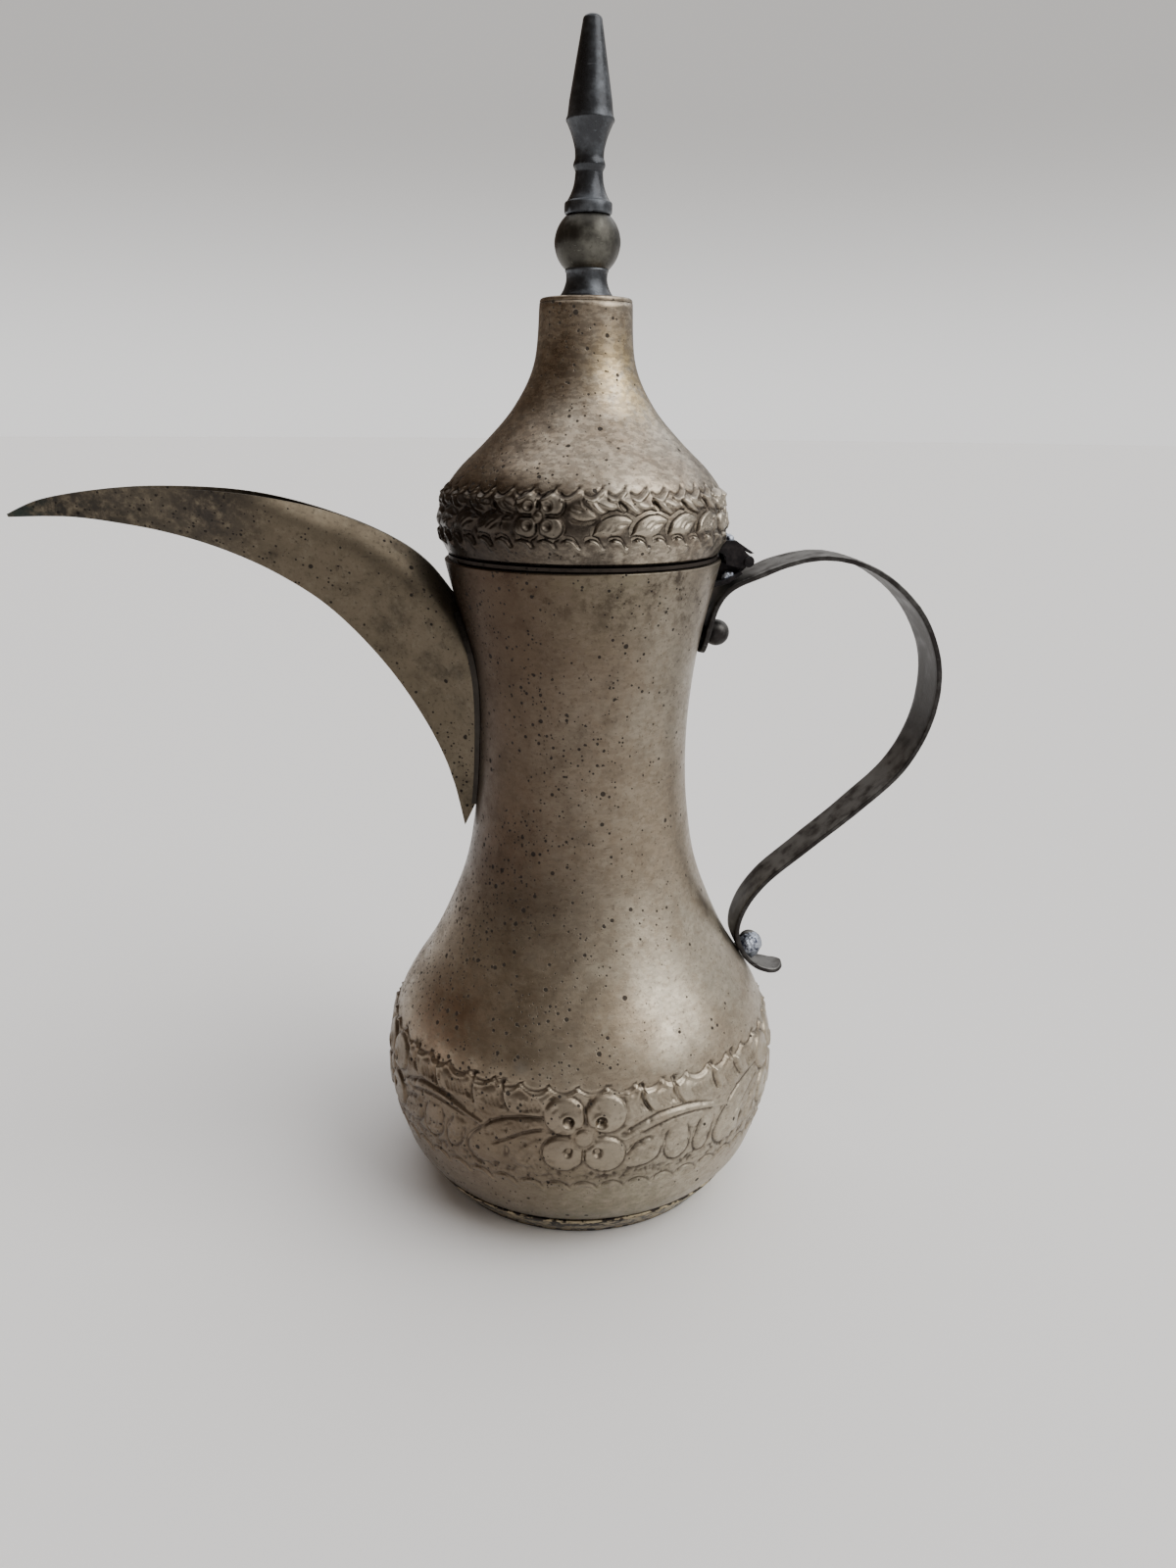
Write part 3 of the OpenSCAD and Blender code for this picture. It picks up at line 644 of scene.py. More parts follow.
def aged_sheet(name, clean, brown, dark, pits, soot, shine, tints=(), side_shade=(), carved=False, soot_and_shade_height=0,
               mottled=0.0, seed=0.0):
    """Sheet metal gone brown and pitted, with its side towards the spout coated a darker brown as painted
    shade. `tints` are (colour, strength, centre, radius). Each item of `side_shade` is (start, end, amount,
    colour), a painted shade: on the spout's side the colour sets in at the start height and has its full
    amount from the end height on. `soot_and_shade_height` is the height where soot and the painted shade
    under the lid are thickest, `carved` darkens the low parts of relief, as soot and painted shade, and
    brightens the high ones, and `mottled` adds black blotches a millimetre or two across. Dirt and painted
    shade lie where the piece's attribute `dirt_and_shade` says."""
    paint = Paint(name, clean)
    broad = paint.noise(30, 4, 0.6, seed)
    cloud = paint.noise(8, 5, 0.65, seed + 1)
    mottle = paint.noise(2.6, 5, 0.7, seed + 2)
    grain = paint.noise(0.9, 4, 0.6, seed + 3)
    turned_marks = paint.noise(1.4, 3, 0.6, seed + 4, stretch=(0.12, 0.12, 2.2))
    where = paint.add("ShaderNodeSeparateXYZ", {"Vector": paint.place}).outputs
    left = paint.span(where["X"], -48.0, 34.0, 1.0, 0.0)

    paint.coat(brown, paint.span(broad, 0.36, 0.66, 0.0, 0.7))
    # Painted shade: the spout's side, away from the light, is coated a darker brown.
    paint.coat(brown, left, 0.85)
    paint.coat(dark, paint.span(cloud, 0.5, 0.8, 0.0, soot))
    paint.coat(brown, paint.span(mottle, 0.46, 0.7, 0.0, 0.55))
    paint.coat(clean, paint.span(mottle, 0.5, 0.28, 0.0, 0.4))
    paint.coat(dark, paint.span(grain, 0.54, 0.74, 0.0, 0.6))
    uneven = paint.span(mottle, 0.3, 0.6)
    for tint, strength, centre, radius in tints:
        paint.coat(tint, paint.near(centre, radius), strength, uneven)
    if soot_and_shade_height:
        # Painted shade under the lid darkens the neck towards this height, and soot smudges thicken just
        # below it.
        paint.coat(dark, paint.span(where["Z"], soot_and_shade_height - 90, soot_and_shade_height, 0.0, 0.4))
        rising = paint.span(where["Z"], soot_and_shade_height - 24, soot_and_shade_height, 0.0, 0.9)
        paint.coat(dark, rising, paint.span(mottle, 0.44, 0.62), paint.span(cloud, 0.4, 0.6))
    if mottled:
        blotch = paint.noise(1.5, 3, 0.6, seed + 8, stretch=(0.6, 0.6, 1.4))
        paint.coat(dark, paint.span(blotch, 0.47, 0.53), mottled)
    steep = paint.scratches(0.55, (20, 70, 10), 0.03, seed)
    marks = paint.math("MAXIMUM", steep, paint.scratches(0.6, (60, -35, 80), 0.0, seed + 5))
    marks = paint.product(marks, paint.span(cloud, 0.42, 0.6))
    paint.coat(dark, marks, 0.6)

    # Pits: most on the spout's side, in clumps, and fewer among the belly's ornament
    clump = paint.span(paint.noise(20, 2, 0.5, seed + 6), 0.36, 0.6, 0.15, 1.0)
    above_belly = paint.span(where["Z"], 46.0, 62.0, 0.4, 1.0)
    density = paint.product(paint.math("MULTIPLY_ADD", left, 0.9, 0.1), clump, above_belly, pits)
    pit = paint.spots(2.7, density, 0.29, seed)
    for size, radius, step in ((1.7, 0.31, 7), (1.0, 0.36, 9)):
        pit = paint.math("MAXIMUM", pit, paint.spots(size, density, radius, seed + step))

    roughness = paint.span(cloud, 0.3, 0.75, shine - 0.04, shine + 0.16)
    roughness = paint.math("ADD", roughness, paint.span(grain, 0.3, 0.8, -0.03, 0.09))
    roughness = paint.math("MULTIPLY_ADD", pit, 0.3, roughness, clamp=True)
    if carved:
        relief = paint.attribute("relief")
        # The low parts of the relief: soot, and painted shade in the chased lines.
        low = paint.span(relief, -0.45, 0.0, 1.0, 0.0)
        paint.coat(dark, low, paint.span(grain, 0.25, 0.6, 0.6, 1.0), 0.85)
        high = paint.span(relief, 0.3, 1.0, 0.0, 0.4)
        paint.coat(clean, high)
        roughness = paint.math("MULTIPLY_ADD", high, -0.08, roughness)
    # Painted shade on the spout's side, in bands of height.
    side = paint.span(where["X"], -30.0, 32.0, 1.0, 0.0)
    for start, end, amount, shade_colour in side_shade:
        paint.coat(shade_colour, side, paint.span(where["Z"], start, end, 0.0, amount))
    paint.coat(SOOT, pit, 0.85)
    # Dirt and painted shade, where the piece's attribute says.
    paint.coat(dark, paint.attribute("dirt_and_shade"), paint.span(mottle, 0.2, 0.6, 0.75, 1.0))
    height = paint.total(
        (grain, 0.05), (turned_marks, 0.018), (cloud, 0.12), (mottle, 0.05), (pit, -0.14), (marks, -0.03),
    )
    return paint.finish(roughness, paint.math("MULTIPLY_ADD", pit, -0.2, 0.96, clamp=True), height)


def dark_steel(name, base, worn_and_lit, rough, wear, top=0.0, seed=0.0):
    """Blackened steel with rubbed patches and fine scratches, lighter on upper faces by `top`, as rubbed
    metal and as painted light from above.
    """
    paint = Paint(name, base)
    cloud = paint.noise(5, 5, 0.62, seed)
    grain = paint.noise(0.7, 4, 0.6, seed + 1)
    level = paint.scratches(0.4, (0, 10, 5), 0.05, seed)
    marks = paint.math("MAXIMUM", level, paint.scratches(0.5, (70, 40, 0), 0.02, seed + 2))
    edge = paint.add("ShaderNodeNewGeometry").outputs["Pointiness"]
    paint.coat(worn_and_lit, paint.span(cloud, 0.42, 0.75, 0.0, wear))
    paint.coat(worn_and_lit, marks, 0.8 * wear)
    paint.coat(SOOT, paint.span(grain, 0.52, 0.78, 0.0, 0.6))
    # Upper faces lighter: rubbed metal, and painted light from above.
    paint.coat(worn_and_lit, paint.facing_up(0.25, 0.7), top, paint.span(cloud, 0.3, 0.6))
    paint.coat(worn_and_lit, paint.span(edge, 0.53, 0.6, 0.0, 0.7))
    roughness = paint.span(cloud, 0.3, 0.7, rough - 0.06, rough + 0.14)
    return paint.finish(roughness, 0.9, paint.total((cloud, 0.14), (grain, 0.06), (marks, -0.03)))


def hinge_metal(name):
    """Steel painted near-black as the shade inside the hinge, with upper faces painted silvery as a
    highlight.
    """
    paint = Paint(name, (0.014, 0.012, 0.013))
    cloud = paint.noise(2.2, 4, 0.6, 3.0)
    grain = paint.noise(0.5, 4, 0.6, 4.0)
    lit_top = paint.product(paint.facing_up(0.35, 0.8), paint.span(cloud, 0.4, 0.55))
    paint.coat((0.035, 0.03, 0.03), paint.span(cloud, 0.4, 0.7))
    # Painted highlight on the upper faces.
    paint.coat((0.30, 0.32, 0.36), lit_top, 0.75)
    return paint.finish(paint.span(lit_top, 0.0, 1.0, 0.62, 0.36), 0.85, paint.total((grain, 0.12)))


def solder_metal(name):
    """Bright grey metal, dulled and browned in patches."""
    paint = Paint(name, (0.36, 0.39, 0.45))
    cloud = paint.noise(1.6, 4, 0.6, 5.0)
    grain = paint.noise(0.5, 3, 0.6, 6.0)
    paint.coat((0.04, 0.044, 0.07), paint.span(cloud, 0.5, 0.62))
    paint.coat((0.16, 0.11, 0.07), paint.span(grain, 0.56, 0.78, 0.0, 0.5))
    return paint.finish(paint.span(cloud, 0.35, 0.7, 0.26, 0.6), 0.9, paint.total((grain, 0.2)), 0.7)


POT = aged_sheet(
    "pot_metal", (0.45, 0.40, 0.315), (0.275, 0.215, 0.15), (0.062, 0.05, 0.04),
    pits=0.62, soot=0.42, shine=0.35, carved=True, soot_and_shade_height=188.0, mottled=0.16,
    side_shade=((72.0, 108.0, 0.88, (0.046, 0.027, 0.017)), (60.0, 48.0, 0.6, (0.07, 0.047, 0.032))),
    tints=(
        ((0.38, 0.22, 0.14), 0.4, (-42, -32, 64), 24), ((0.38, 0.23, 0.15), 0.35, (-24, -20, 112), 26),
        ((0.34, 0.33, 0.21), 0.5, (0, -36, 190), 30), ((0.24, 0.235, 0.16), 0.8, (0, -46, 10), 42),
        ((0.15, 0.165, 0.185), 1.0, (30, -35, 84), 5), ((0.20, 0.21, 0.20), 0.9, (-21, -52, 60), 4),
    ),
)
FOOT = aged_sheet(
    "foot_metal", (0.50, 0.44, 0.28), (0.25, 0.19, 0.13), (0.03, 0.025, 0.022),
    pits=1.0, soot=1.0, shine=0.34, seed=20.0, mottled=1.0,
)
LID = aged_sheet(
    "lid_metal", (0.56, 0.50, 0.40), (0.235, 0.175, 0.12), (0.036, 0.028, 0.023),
    pits=0.45, soot=0.85, shine=0.29, carved=True, seed=40.0, mottled=0.34,
    side_shade=((214.0, 204.0, 0.9, (0.014, 0.010, 0.009)),),
    tints=(
        ((0.035, 0.028, 0.024), 0.9, (0, -40, 186), 18), ((0.10, 0.085, 0.07), 0.9, (36, -22, 194), 30),
        ((0.58, 0.44, 0.22), 0.8, (12, -12, 236), 18),
    ),
)
# Near-black: painted shade for the collar, which sits in the gap under the lid.
COLLAR = aged_sheet(
    "collar_metal", (0.06, 0.05, 0.042), (0.04, 0.032, 0.027), (0.012, 0.011, 0.01),
    pits=0.2, soot=0.6, shine=0.5, seed=50.0,
)
SPOUT = aged_sheet(
    "spout_metal", (0.175, 0.152, 0.112), (0.115, 0.092, 0.064), (0.032, 0.027, 0.022),
    pits=0.3, soot=0.8, shine=0.46, seed=60.0,
    tints=(
        ((0.035, 0.03, 0.028), 1.0, (-98, -3, 204), 18), ((0.028, 0.026, 0.024), 1.0, (-150, 0, 200), 84),
        ((0.03, 0.04, 0.034), 0.9, (-152, 0, 200), 16),
    ),
)
STEEL = dark_steel("strap_steel", (0.026, 0.023, 0.022), (0.21, 0.205, 0.195), 0.42, 0.38, top=0.85)
FINIAL = dark_steel("finial_steel", (0.042, 0.044, 0.048), (0.19, 0.205, 0.225), 0.30, 0.5, seed=12.0)
BALL = dark_steel("ball_steel", (0.05, 0.047, 0.04), (0.17, 0.165, 0.14), 0.34, 0.7, seed=16.0)
HINGE = hinge_metal("hinge_steel")
# Near-black: dark solder, and painted shadow in the crevice where the spout meets the pot.
SEAM = dark_steel("seam_metal", (0.022, 0.019, 0.017), (0.05, 0.043, 0.036), 0.6, 0.4, seed=28.0)
SOLDER = solder_metal("solder")


# ---- Outlines shared with the CAD model, as (radius, height) ----

BASE, BELLY, WAIST, RIM = (49.65, 9), (59.3, 36.5), (30.1, 134), (38.2, 188.5)


def part_way(a, b, across, up):
    return mid(a[0], b[0], across), mid(a[1], b[1], up)


BODY_OUTER = smooth(
    [BASE, part_way(BASE, BELLY, 0.519, 0.29), BELLY, part_way(BELLY, WAIST, 0.147, 0.215),
     part_way(BELLY, WAIST, 0.548, 0.42), part_way(BELLY, WAIST, 0.854, 0.64),
     part_way(BELLY, WAIST, 0.97, 0.835), WAIST, part_way(WAIST, RIM, 0.09, 0.29),
     part_way(WAIST, RIM, 0.38, 0.6), RIM], 16,
)
LID_OUTER = smooth(
    [(37.4, 190.5), (39.6, 195.1), (39.8, 200.4), (38.2, 206.4), (33.7, 212.4), (26.4, 219.4),
     (18.6, 228.4), (13.4, 239.4), (12.2, 254)], 16,
)
SHEET = 1.0

# Points round a ring: on the plain parts, and where there is relief
COARSE = 160
FINE = 6 * COARSE


def radius_at(outline, z):
    return float(np.interp(z, outline[:, 1], outline[:, 0]))


# ---- The pot's and the lid's shells ----


def hinge_guard(azimuth):
    """1 where the lid's band is left plain, beside the hinge."""
    turn = np.abs((azimuth + math.pi) % TAU - math.pi)
    return 1 - ease(math.radians(15), math.radians(19), turn)


def carved_shell(name, outline, heights, band, reliefs, limit, sink, ground, plain, lip, spacing,
                 body, material, node):
    """A spun sheet with relief in a band of its outer face. The band is sunk by `sink`, given as (depth,
    height of its middle, half its width), stays within the radius limit, and fades out where `plain`
    is 1. Dirt and painted shade, up to `ground`, lie between its raised parts, and painted shade lies along
    its lowest edge. The inner face follows the lip."""
    azimuth = np.arange(FINE) * TAU / FINE
    depth, middle, half = sink
    rings, carved, dirt_and_shade = [], [], []
    for z in heights:
        r = radius_at(outline, z) - depth * math.exp(-(((z - middle) / half) ** 2))
        if band[0] <= z < band[1]:
            h = sum(relief.at(azimuth, z) for relief in reliefs) * (1 - plain(azimuth))
            inside = ease(band[0] + 2, band[0] + 5, z) * (1 - ease(band[1] - 4, band[1] - 1.5, z))
            rings.append(ring(np.minimum(r + h, limit), z, FINE))
            carved.append(h)
            dirt_and_shade.append(ground * inside * np.clip((0.5 - h) / 0.8, 0, 1))
        else:
            rings.append(ring(r, z, COARSE))
            carved.append(np.zeros(COARSE))
            # Painted shade along the lowest edge of the sheet, over the groove under the pot or the gap under
            # the lid.
            dirt_and_shade.append(np.full(COARSE, float(z < outline[0, 1] + 0.4)))
    for r, z in lip + list(beside(outline, SHEET)[::-1][::spacing]):
        rings.append(ring(r, z, COARSE))
        carved.append(np.zeros(COARSE))
        dirt_and_shade.append(np.zeros(COARSE))
    points, faces = skin(rings, closed=True)
    piece = new_piece(name, leaning(points), faces, body, material, node)
    store(piece, "relief", np.concatenate(carved))
    store(piece, "dirt_and_shade", np.concatenate(dirt_and_shade))
    return piece


BELLY_BAND = (22.6, 55.6)
LID_BAND = (192.6, 209.8)
heights = list(np.arange(BASE[1], BELLY_BAND[0], 0.8)) + list(np.arange(*BELLY_BAND, 0.38))
heights += list(np.arange(BELLY_BAND[1] + 0.6, 188.2, 3.0)) + [188.2]
pot_shell = carved_shell(
    "pot_shell", BODY_OUTER, heights, BELLY_BAND, [belly_ornament(), lower_border()],
    limit=59.29, sink=(0.7, 37, 11), ground=0.16, plain=np.zeros_like,
    lip=[(38.16, 188.45), (37.95, 188.66), (37.6, 188.72), (37.3, 188.55)], spacing=8,
    body="pot", material=POT, node="body_shell",
)
heights = list(np.arange(190.6, LID_BAND[0], 0.5)) + list(np.arange(*LID_BAND, 0.32))
heights += list(np.arange(LID_BAND[1] + 0.6, 253.9, 1.5)) + [253.9]
carved_shell(
    "lid_dome", LID_OUTER, heights, LID_BAND, [lid_ornament(), lid_upper_edge(), lid_lower_edge()],
    limit=40.5, sink=(0.85, 201, 8), ground=1.0, plain=hinge_guard,
    lip=[], spacing=6, body="lid", material=LID, node="lid_shell",
)


# ---- The strainer: holes through the pot's wall behind the spout, as in the CAD model ----

STRAINER = ((128, 1), (134, 2), (140, 1), (146, 2), (152, 3), (158, 2))
STRAINER_PITCH = 5
STRAINER_R = 1.3


def drill_strainer(shell):
    points, faces = [], []
    count = 24
    turn = np.arange(count) * TAU / count
    for z, holes in STRAINER:
        for k in range(holes):
            y = (k - (holes - 1) / 2) * STRAINER_PITCH
            start = len(points)
            for x in (-60, -10):
                points += [(x, y + STRAINER_R * math.cos(t), z + STRAINER_R * math.sin(t)) for t in turn]
            near, far = range(start, start + count), range(start + count, start + 2 * count)
            faces += [tuple(near), tuple(far)[::-1]]
            faces += [(near[q], far[q], far[(q + 1) % count], near[(q + 1) % count]) for q in range(count)]
    mesh = bpy.data.meshes.new("drills")
    mesh.from_pydata([tuple(v) for v in np.array(points) * MM], [], faces)
    drills = bpy.data.objects.new("drills", mesh)
    bpy.context.scene.collection.objects.link(drills)
    cut = shell.modifiers.new("strainer", "BOOLEAN")
    cut.operation = "DIFFERENCE"
    cut.solver = "MANIFOLD"
    cut.object = drills
    drilled = bpy.data.meshes.new_from_object(shell.evaluated_get(bpy.context.evaluated_depsgraph_get()))
    shell.modifiers.remove(cut)
    bpy.data.objects.remove(drills)
    if len(drilled.vertices) > len(shell.data.vertices):
        shell.data = drilled


drill_strainer(pot_shell)


# ---- Foot band and neck cap ----

# From the dark groove under the pot down to the table and up inside, as (radius, height)
FOOT_BAND = [
    (47.6, 8.9), (47.7, 8.93), (47.8, 8.9), (47.9, 8.35), (48.2, 8.2), (48.9, 8.1), (49.2, 7.8), (48.75, 7.0),
    (47.6, 5.4), (46.4, 3.9), (45.3, 2.7), (44.4, 1.8), (43.9, 1.3), (43.75, 0.9), (43.5, 0.4), (43.0, 0.07),
    (42.4, 0.0), (41.9, 0.1), (41.7, 0.5), (44.2, 2.8), (46.6, 5.6),
]
GROOVE_Z = 8.15
FOOT_EDGE_Z = 0.6
AROUND = 3 * COARSE
rings = [ring(r, z, AROUND) for r, z in FOOT_BAND]
for (r, z), spots in zip(FOOT_BAND, rings):
    dented = 0.10 * ease(0.0, 2.0, z) * lumps(spots, 0.16, 31)[:, 0] + 0.05 * lumps(spots, 0.9, 32)[:, 0]
    spots[:, :2] *= 1 + (dented * ease(41.8, 43.6, r) / r)[:, None]
points, faces = skin(rings, closed=True)
foot_band = new_piece("foot_band", points, faces, "pot", FOOT, "foot_ring")
# Painted shade in the groove under the pot; the band is also darker at its bottom edge.
store(foot_band, "dirt_and_shade", np.repeat([z > GROOVE_Z or z < FOOT_EDGE_Z for r, z in FOOT_BAND], AROUND))

neck_top = [(0, 254.06), (12.1, 254.06), (12.12, 254.5), (11.95, 254.9), (11.6, 255.12), (11.1, 255.2)]
turned("neck_top", neck_top + [(7.2, 255.12), (0, 255.1)], 96, LID, "neck_cap")


# ---- Finial ----

PEDESTAL_Z = 255.25
PEDESTAL_TOP = 262.2
BALL_Z = 268.5
BALL_R = 8.5
BALL_TOP = 275.1
TIP_R = 2.4
TIP_Z = 318.7
TOP = 319.98

z = PEDESTAL_Z
pedestal = [(0, z), (6.7, z), (6.95, z + 0.25), (6.9, z + 0.6)]
pedestal += list(smooth([(6.9, z + 0.6), (6.0, z + 2.1), (5.35, z + 4.2), (5.4, z + 6)], 5)[1:])
pedestal += [(5.7, PEDESTAL_TOP - 0.4), (5.6, PEDESTAL_TOP), (0, PEDESTAL_TOP)]
turned("pedestal", pedestal, 72, FINIAL, "finial_pedestal", wobble=0.03, seed=1)

# The ball stands out a little in a band round its middle
low, high = (math.asin((v - BALL_Z) / BALL_R) for v in (PEDESTAL_TOP + 0.05, BALL_TOP - 0.05))
arc = [(BALL_R * math.cos(a), BALL_Z + BALL_R * math.sin(a)) for a in np.linspace(low, high, 33)]
arc = [(r + 0.05 * math.exp(-((h - BALL_Z) ** 2)), h) for r, h in arc]
ball = [(0, arc[0][1])] + arc + [(0, arc[-1][1])]
turned("ball", ball, 96, BALL, "finial_ball", wobble=0.03, seed=2)

z = BALL_TOP
spire = [(0, z), (5.8, z), (6.1, z + 0.35), (6.15, z + 1.4), (6.1, z + 2.6), (5.9, z + 2.9), (5.5, z + 3.1)]
spire += list(smooth([(5.4, z + 3.3), (4.5, z + 5), (3.8, z + 7.2), (3.5, z + 9.8)], 5))
spire += list(smooth([(3.6, z + 10.2), (4.1, z + 11.4), (3.7, z + 12.8)], 5))
spire += list(smooth([(3.65, z + 13.4), (3.8, z + 15.2), (4.6, z + 18.1), (5.8, z + 20.9)], 6))
spire += [(6.05, z + 21.2), (6.15, z + 21.6), (6.05, z + 22), (5.8, z + 22.5), (5.6, z + 24), (5.4, z + 25.9)]
spire += [(mid(5.4, TIP_R, f), mid(z + 25.9, TIP_Z, f)) for f in (0.2, 0.4, 0.6, 0.8, 1.0)]
spire += [(TIP_R * math.cos(a), TIP_Z + (TOP - TIP_Z) * math.sin(a)) for a in np.radians([20, 40, 60, 80])]
turned("spire", spire + [(0, TOP)], 72, FINIAL, "finial_spire", wobble=0.02, seed=3)


# ---- Handle strap ----

STRAP_LINE = smooth(
    [(33, 160.4), (34.8, 168.6), (37.3, 176.6), (41.2, 180.9), (47.6, 183.8), (57, 187.4), (68, 189),
     (79.5, 186.4), (90.7, 178.9), (98.8, 168.3), (102.6, 155.4), (101.1, 140.6), (94, 126.5), (81.2, 114.2),
     (67, 102.1), (55.8, 92.6), (49.6, 83.9), (47.5, 75.6), (50, 68.4), (54.6, 63.7), (60, 62),
     (63.4, 62.7)], 10,
)
STRAP_T = 1.5
STRAP_ROOT_Z = 161.6
STRAP_CORNER = 0.4
ROOT_ROUND = 4
TAIL_ROUND = 5


def strap_half(z, from_root, from_tail):
    """Half the strap's width, narrowed to its tail and rounded at both ends."""
    half = mid(5.0, 8.0, np.clip((z - 59) / (150 - 59), 0, 1))
    if from_root < ROOT_ROUND:
        half -= ROOT_ROUND - math.sqrt(ROOT_ROUND**2 - (ROOT_ROUND - from_root) ** 2)
    if from_tail < TAIL_ROUND:
        half = min(half, math.sqrt(TAIL_ROUND**2 - (TAIL_ROUND - from_tail) ** 2))
    return half


def strap_section(half):
    """The strap's cross-section with rounded corners, as (across, out)."""
    t = STRAP_T / 2
    c = min(STRAP_CORNER, 0.9 * half)
    flat = np.linspace(-1, 1, 11) * (half - c)
    bend = np.radians([0, 30, 60, 90])
    edge = [(half - c + c * math.sin(a), -t + STRAP_CORNER * (1 - math.cos(a))) for a in bend[1:]]
    edge += [(half - c + c * math.cos(a), t - STRAP_CORNER * (1 - math.sin(a))) for a in bend[:-1]]
    far_edge = [(-y, -v) for y, v in edge]
    return np.array([(y, t) for y in flat[::-1]] + far_edge + [(y, -t) for y in flat] + edge)


def strap():
    line = STRAP_LINE[np.argmax(STRAP_LINE[:, 1] > STRAP_ROOT_Z):]
    steps = np.linalg.norm(np.diff(line, axis=0), axis=1)
    run = np.concatenate([[0], np.cumsum(steps)])
    # Closer stations at both ends, where the outline is round
    ends = np.array([0.05, 0.3, 0.7, 1.3, 2.1, 3.0, 4.0])
    s = np.unique(np.concatenate([ends, np.linspace(4.0, run[-1] - 5, 190), run[-1] - ends]))
    centre = np.stack([np.interp(s, run, line[:, 0]), np.interp(s, run, line[:, 1])], 1)
    tangent = np.gradient(centre, axis=0)
    tangent /= np.linalg.norm(tangent, axis=1)[:, None]
    normal = np.stack([-tangent[:, 1], tangent[:, 0]], 1)
    rings = []
    for (x, z), (nx, nz), here in zip(centre, normal, s):
        y, v = strap_section(strap_half(z, here, run[-1] - here)).T
        rings.append(np.stack([x + v * nx, y, z + v * nz], 1))
    points, faces = skin(rings)
    count = len(rings[0])
    faces = [f[::-1] for f in faces]
    faces.append(tuple(range(count)))
    faces.append(tuple(range(len(points) - count, len(points)))[::-1])
    points += 0.10 * lumps(points, 0.35, 17) * np.array([1, 0.6, 1])
    # Where the line enters the pot's wall the strap is bent round it
    wall = np.interp(points[:, 2], BODY_OUTER[:, 1], BODY_OUTER[:, 0]) + 0.08
    normal_of = np.repeat(normal, count, axis=0)
    offset = ((points[:, [0, 2]] - np.repeat(centre, count, axis=0)) * normal_of).sum(1)
    outward = np.where(normal_of[:, 0] < 0, -offset, offset) + STRAP_T / 2
    away = np.hypot(points[:, 0], points[:, 1])
    short = np.clip(wall + np.clip(outward, 0, STRAP_T) - away, 0, None)
    points[:, :2] *= (1 + short / away)[:, None]
    new_piece("strap", points, faces, "pot", STEEL, "handle_strap", flat_above=50)


strap()


# ---- Solder ----


def blob(name, balls, body, node, rough=0.22, voxel=0.16, seed=0):
    """A frozen lump of solder round several balls, given as (x, y, z, radius)."""
    parts = bpy.data.meshes.new(name)
    build = bmesh.new()
    for x, y, z, r in balls:
        place = Matrix.Translation(Vector((x, y, z)) * MM)
        bmesh.ops.create_icosphere(build, subdivisions=4, radius=r * MM, matrix=place)
    build.to_mesh(parts)
    build.free()
    lump = bpy.data.objects.new(name, parts)
    bpy.context.scene.collection.objects.link(lump)
    melt = lump.modifiers.new("melt", "REMESH")
    melt.mode = "VOXEL"
    melt.voxel_size = voxel * MM
    lump.modifiers.new("soft", "SMOOTH").iterations = 6
    melted = bpy.data.meshes.new_from_object(lump.evaluated_get(bpy.context.evaluated_depsgraph_get()))
    bpy.data.objects.remove(lump)
    points = np.array([v.co for v in melted.vertices]) / MM
    points = points + rough * lumps(points, 1.3, seed)
    faces = [tuple(p.vertices) for p in melted.polygons]
    new_piece(name, points, faces, body, SOLDER, node)


LOWER_RIVET_Z = 68.4
LOWER_TILT = math.radians(59)


def on_lower_rivet(down_wall, across, out, radius):
    """A ball of solder, placed from where the lower rivet meets the pot's wall."""
    c, n = math.cos(LOWER_TILT), math.sin(LOWER_TILT)
    x = radius_at(BODY_OUTER, LOWER_RIVET_Z) + down_wall * c + out * n
    return x, across, LOWER_RIVET_Z - down_wall * n + out * c, radius


TAIL_LUMP = [
    (0.7, -0.5, 4.3, 3.75), (0.2, -1.8, 3.2, 2.9), (2.4, -0.2, 3.6, 2.9), (3.6, 0, 2.7, 2.0),
    (4.9, 0.2, 1.9, 1.2),
]
LID_BEADS = [(40.3, -4.6, 193.9, 1.1), (40.5, -1.2, 194, 1.1), (40.2, 2.6, 194, 1.2), (40.7, 5, 193.8, 0.8)]
LUG_BEADS = [(39.7, -4.9, 184, 1.4), (40.9, -5.6, 184.5, 0.8), (39.7, 4.7, 184, 1.5), (41, 5.2, 184.6, 0.8)]
tail_balls = [on_lower_rivet(*ball) for ball in TAIL_LUMP]
blob("tail_solder", tail_balls, "pot", "lower_rivet_solder", rough=0.3, voxel=0.22, seed=11)
blob("lid_solder", LID_BEADS, "lid", "lid_hinge_solder", seed=12)
blob("lug_solder", LUG_BEADS, "pot", "body_hinge_solder", seed=13)


# ---- Spout ----

SPOUT_TOP = [
    (-151.6, 200.4), (-142.7, 204.2), (-129, 206.5), (-114.5, 207.3), (-94, 206.4), (-77.2, 203.5),
    (-62.5, 199), (-50.5, 193.3), (-42.5, 187.2), (-36.3, 179.3),
]
SPOUT_KEEL = [
    (-151.6, 199.6), (-136.5, 199.7), (-123, 198), (-109.6, 195.2), (-96.2, 190.8), (-82.8, 184.4),
    (-69.4, 175.1), (-56, 160.6), (-45.4, 144.5), (-38.2, 128.5), (-34.3, 112),
]
SPOUT_LOW, SPOUT_HIGH = 111.2, 179.3
CLOSED, OPEN = 0.66, 0.14


def cheek_inside(u, v):
    """Half the distance between the cheeks' inner faces, at u along and v up the spout."""
    edge = 0.8 * (1 - ease(0.5, CLOSED, u))
    if OPEN < u < CLOSED:
        edge += 5.5 * math.sin(math.pi * (u - OPEN) / (CLOSED - OPEN)) ** 2
    return 0.3 + edge * v**0.8 + 8.5 * ease(0.3, 1, u) * math.sin(math.pi * v * v)


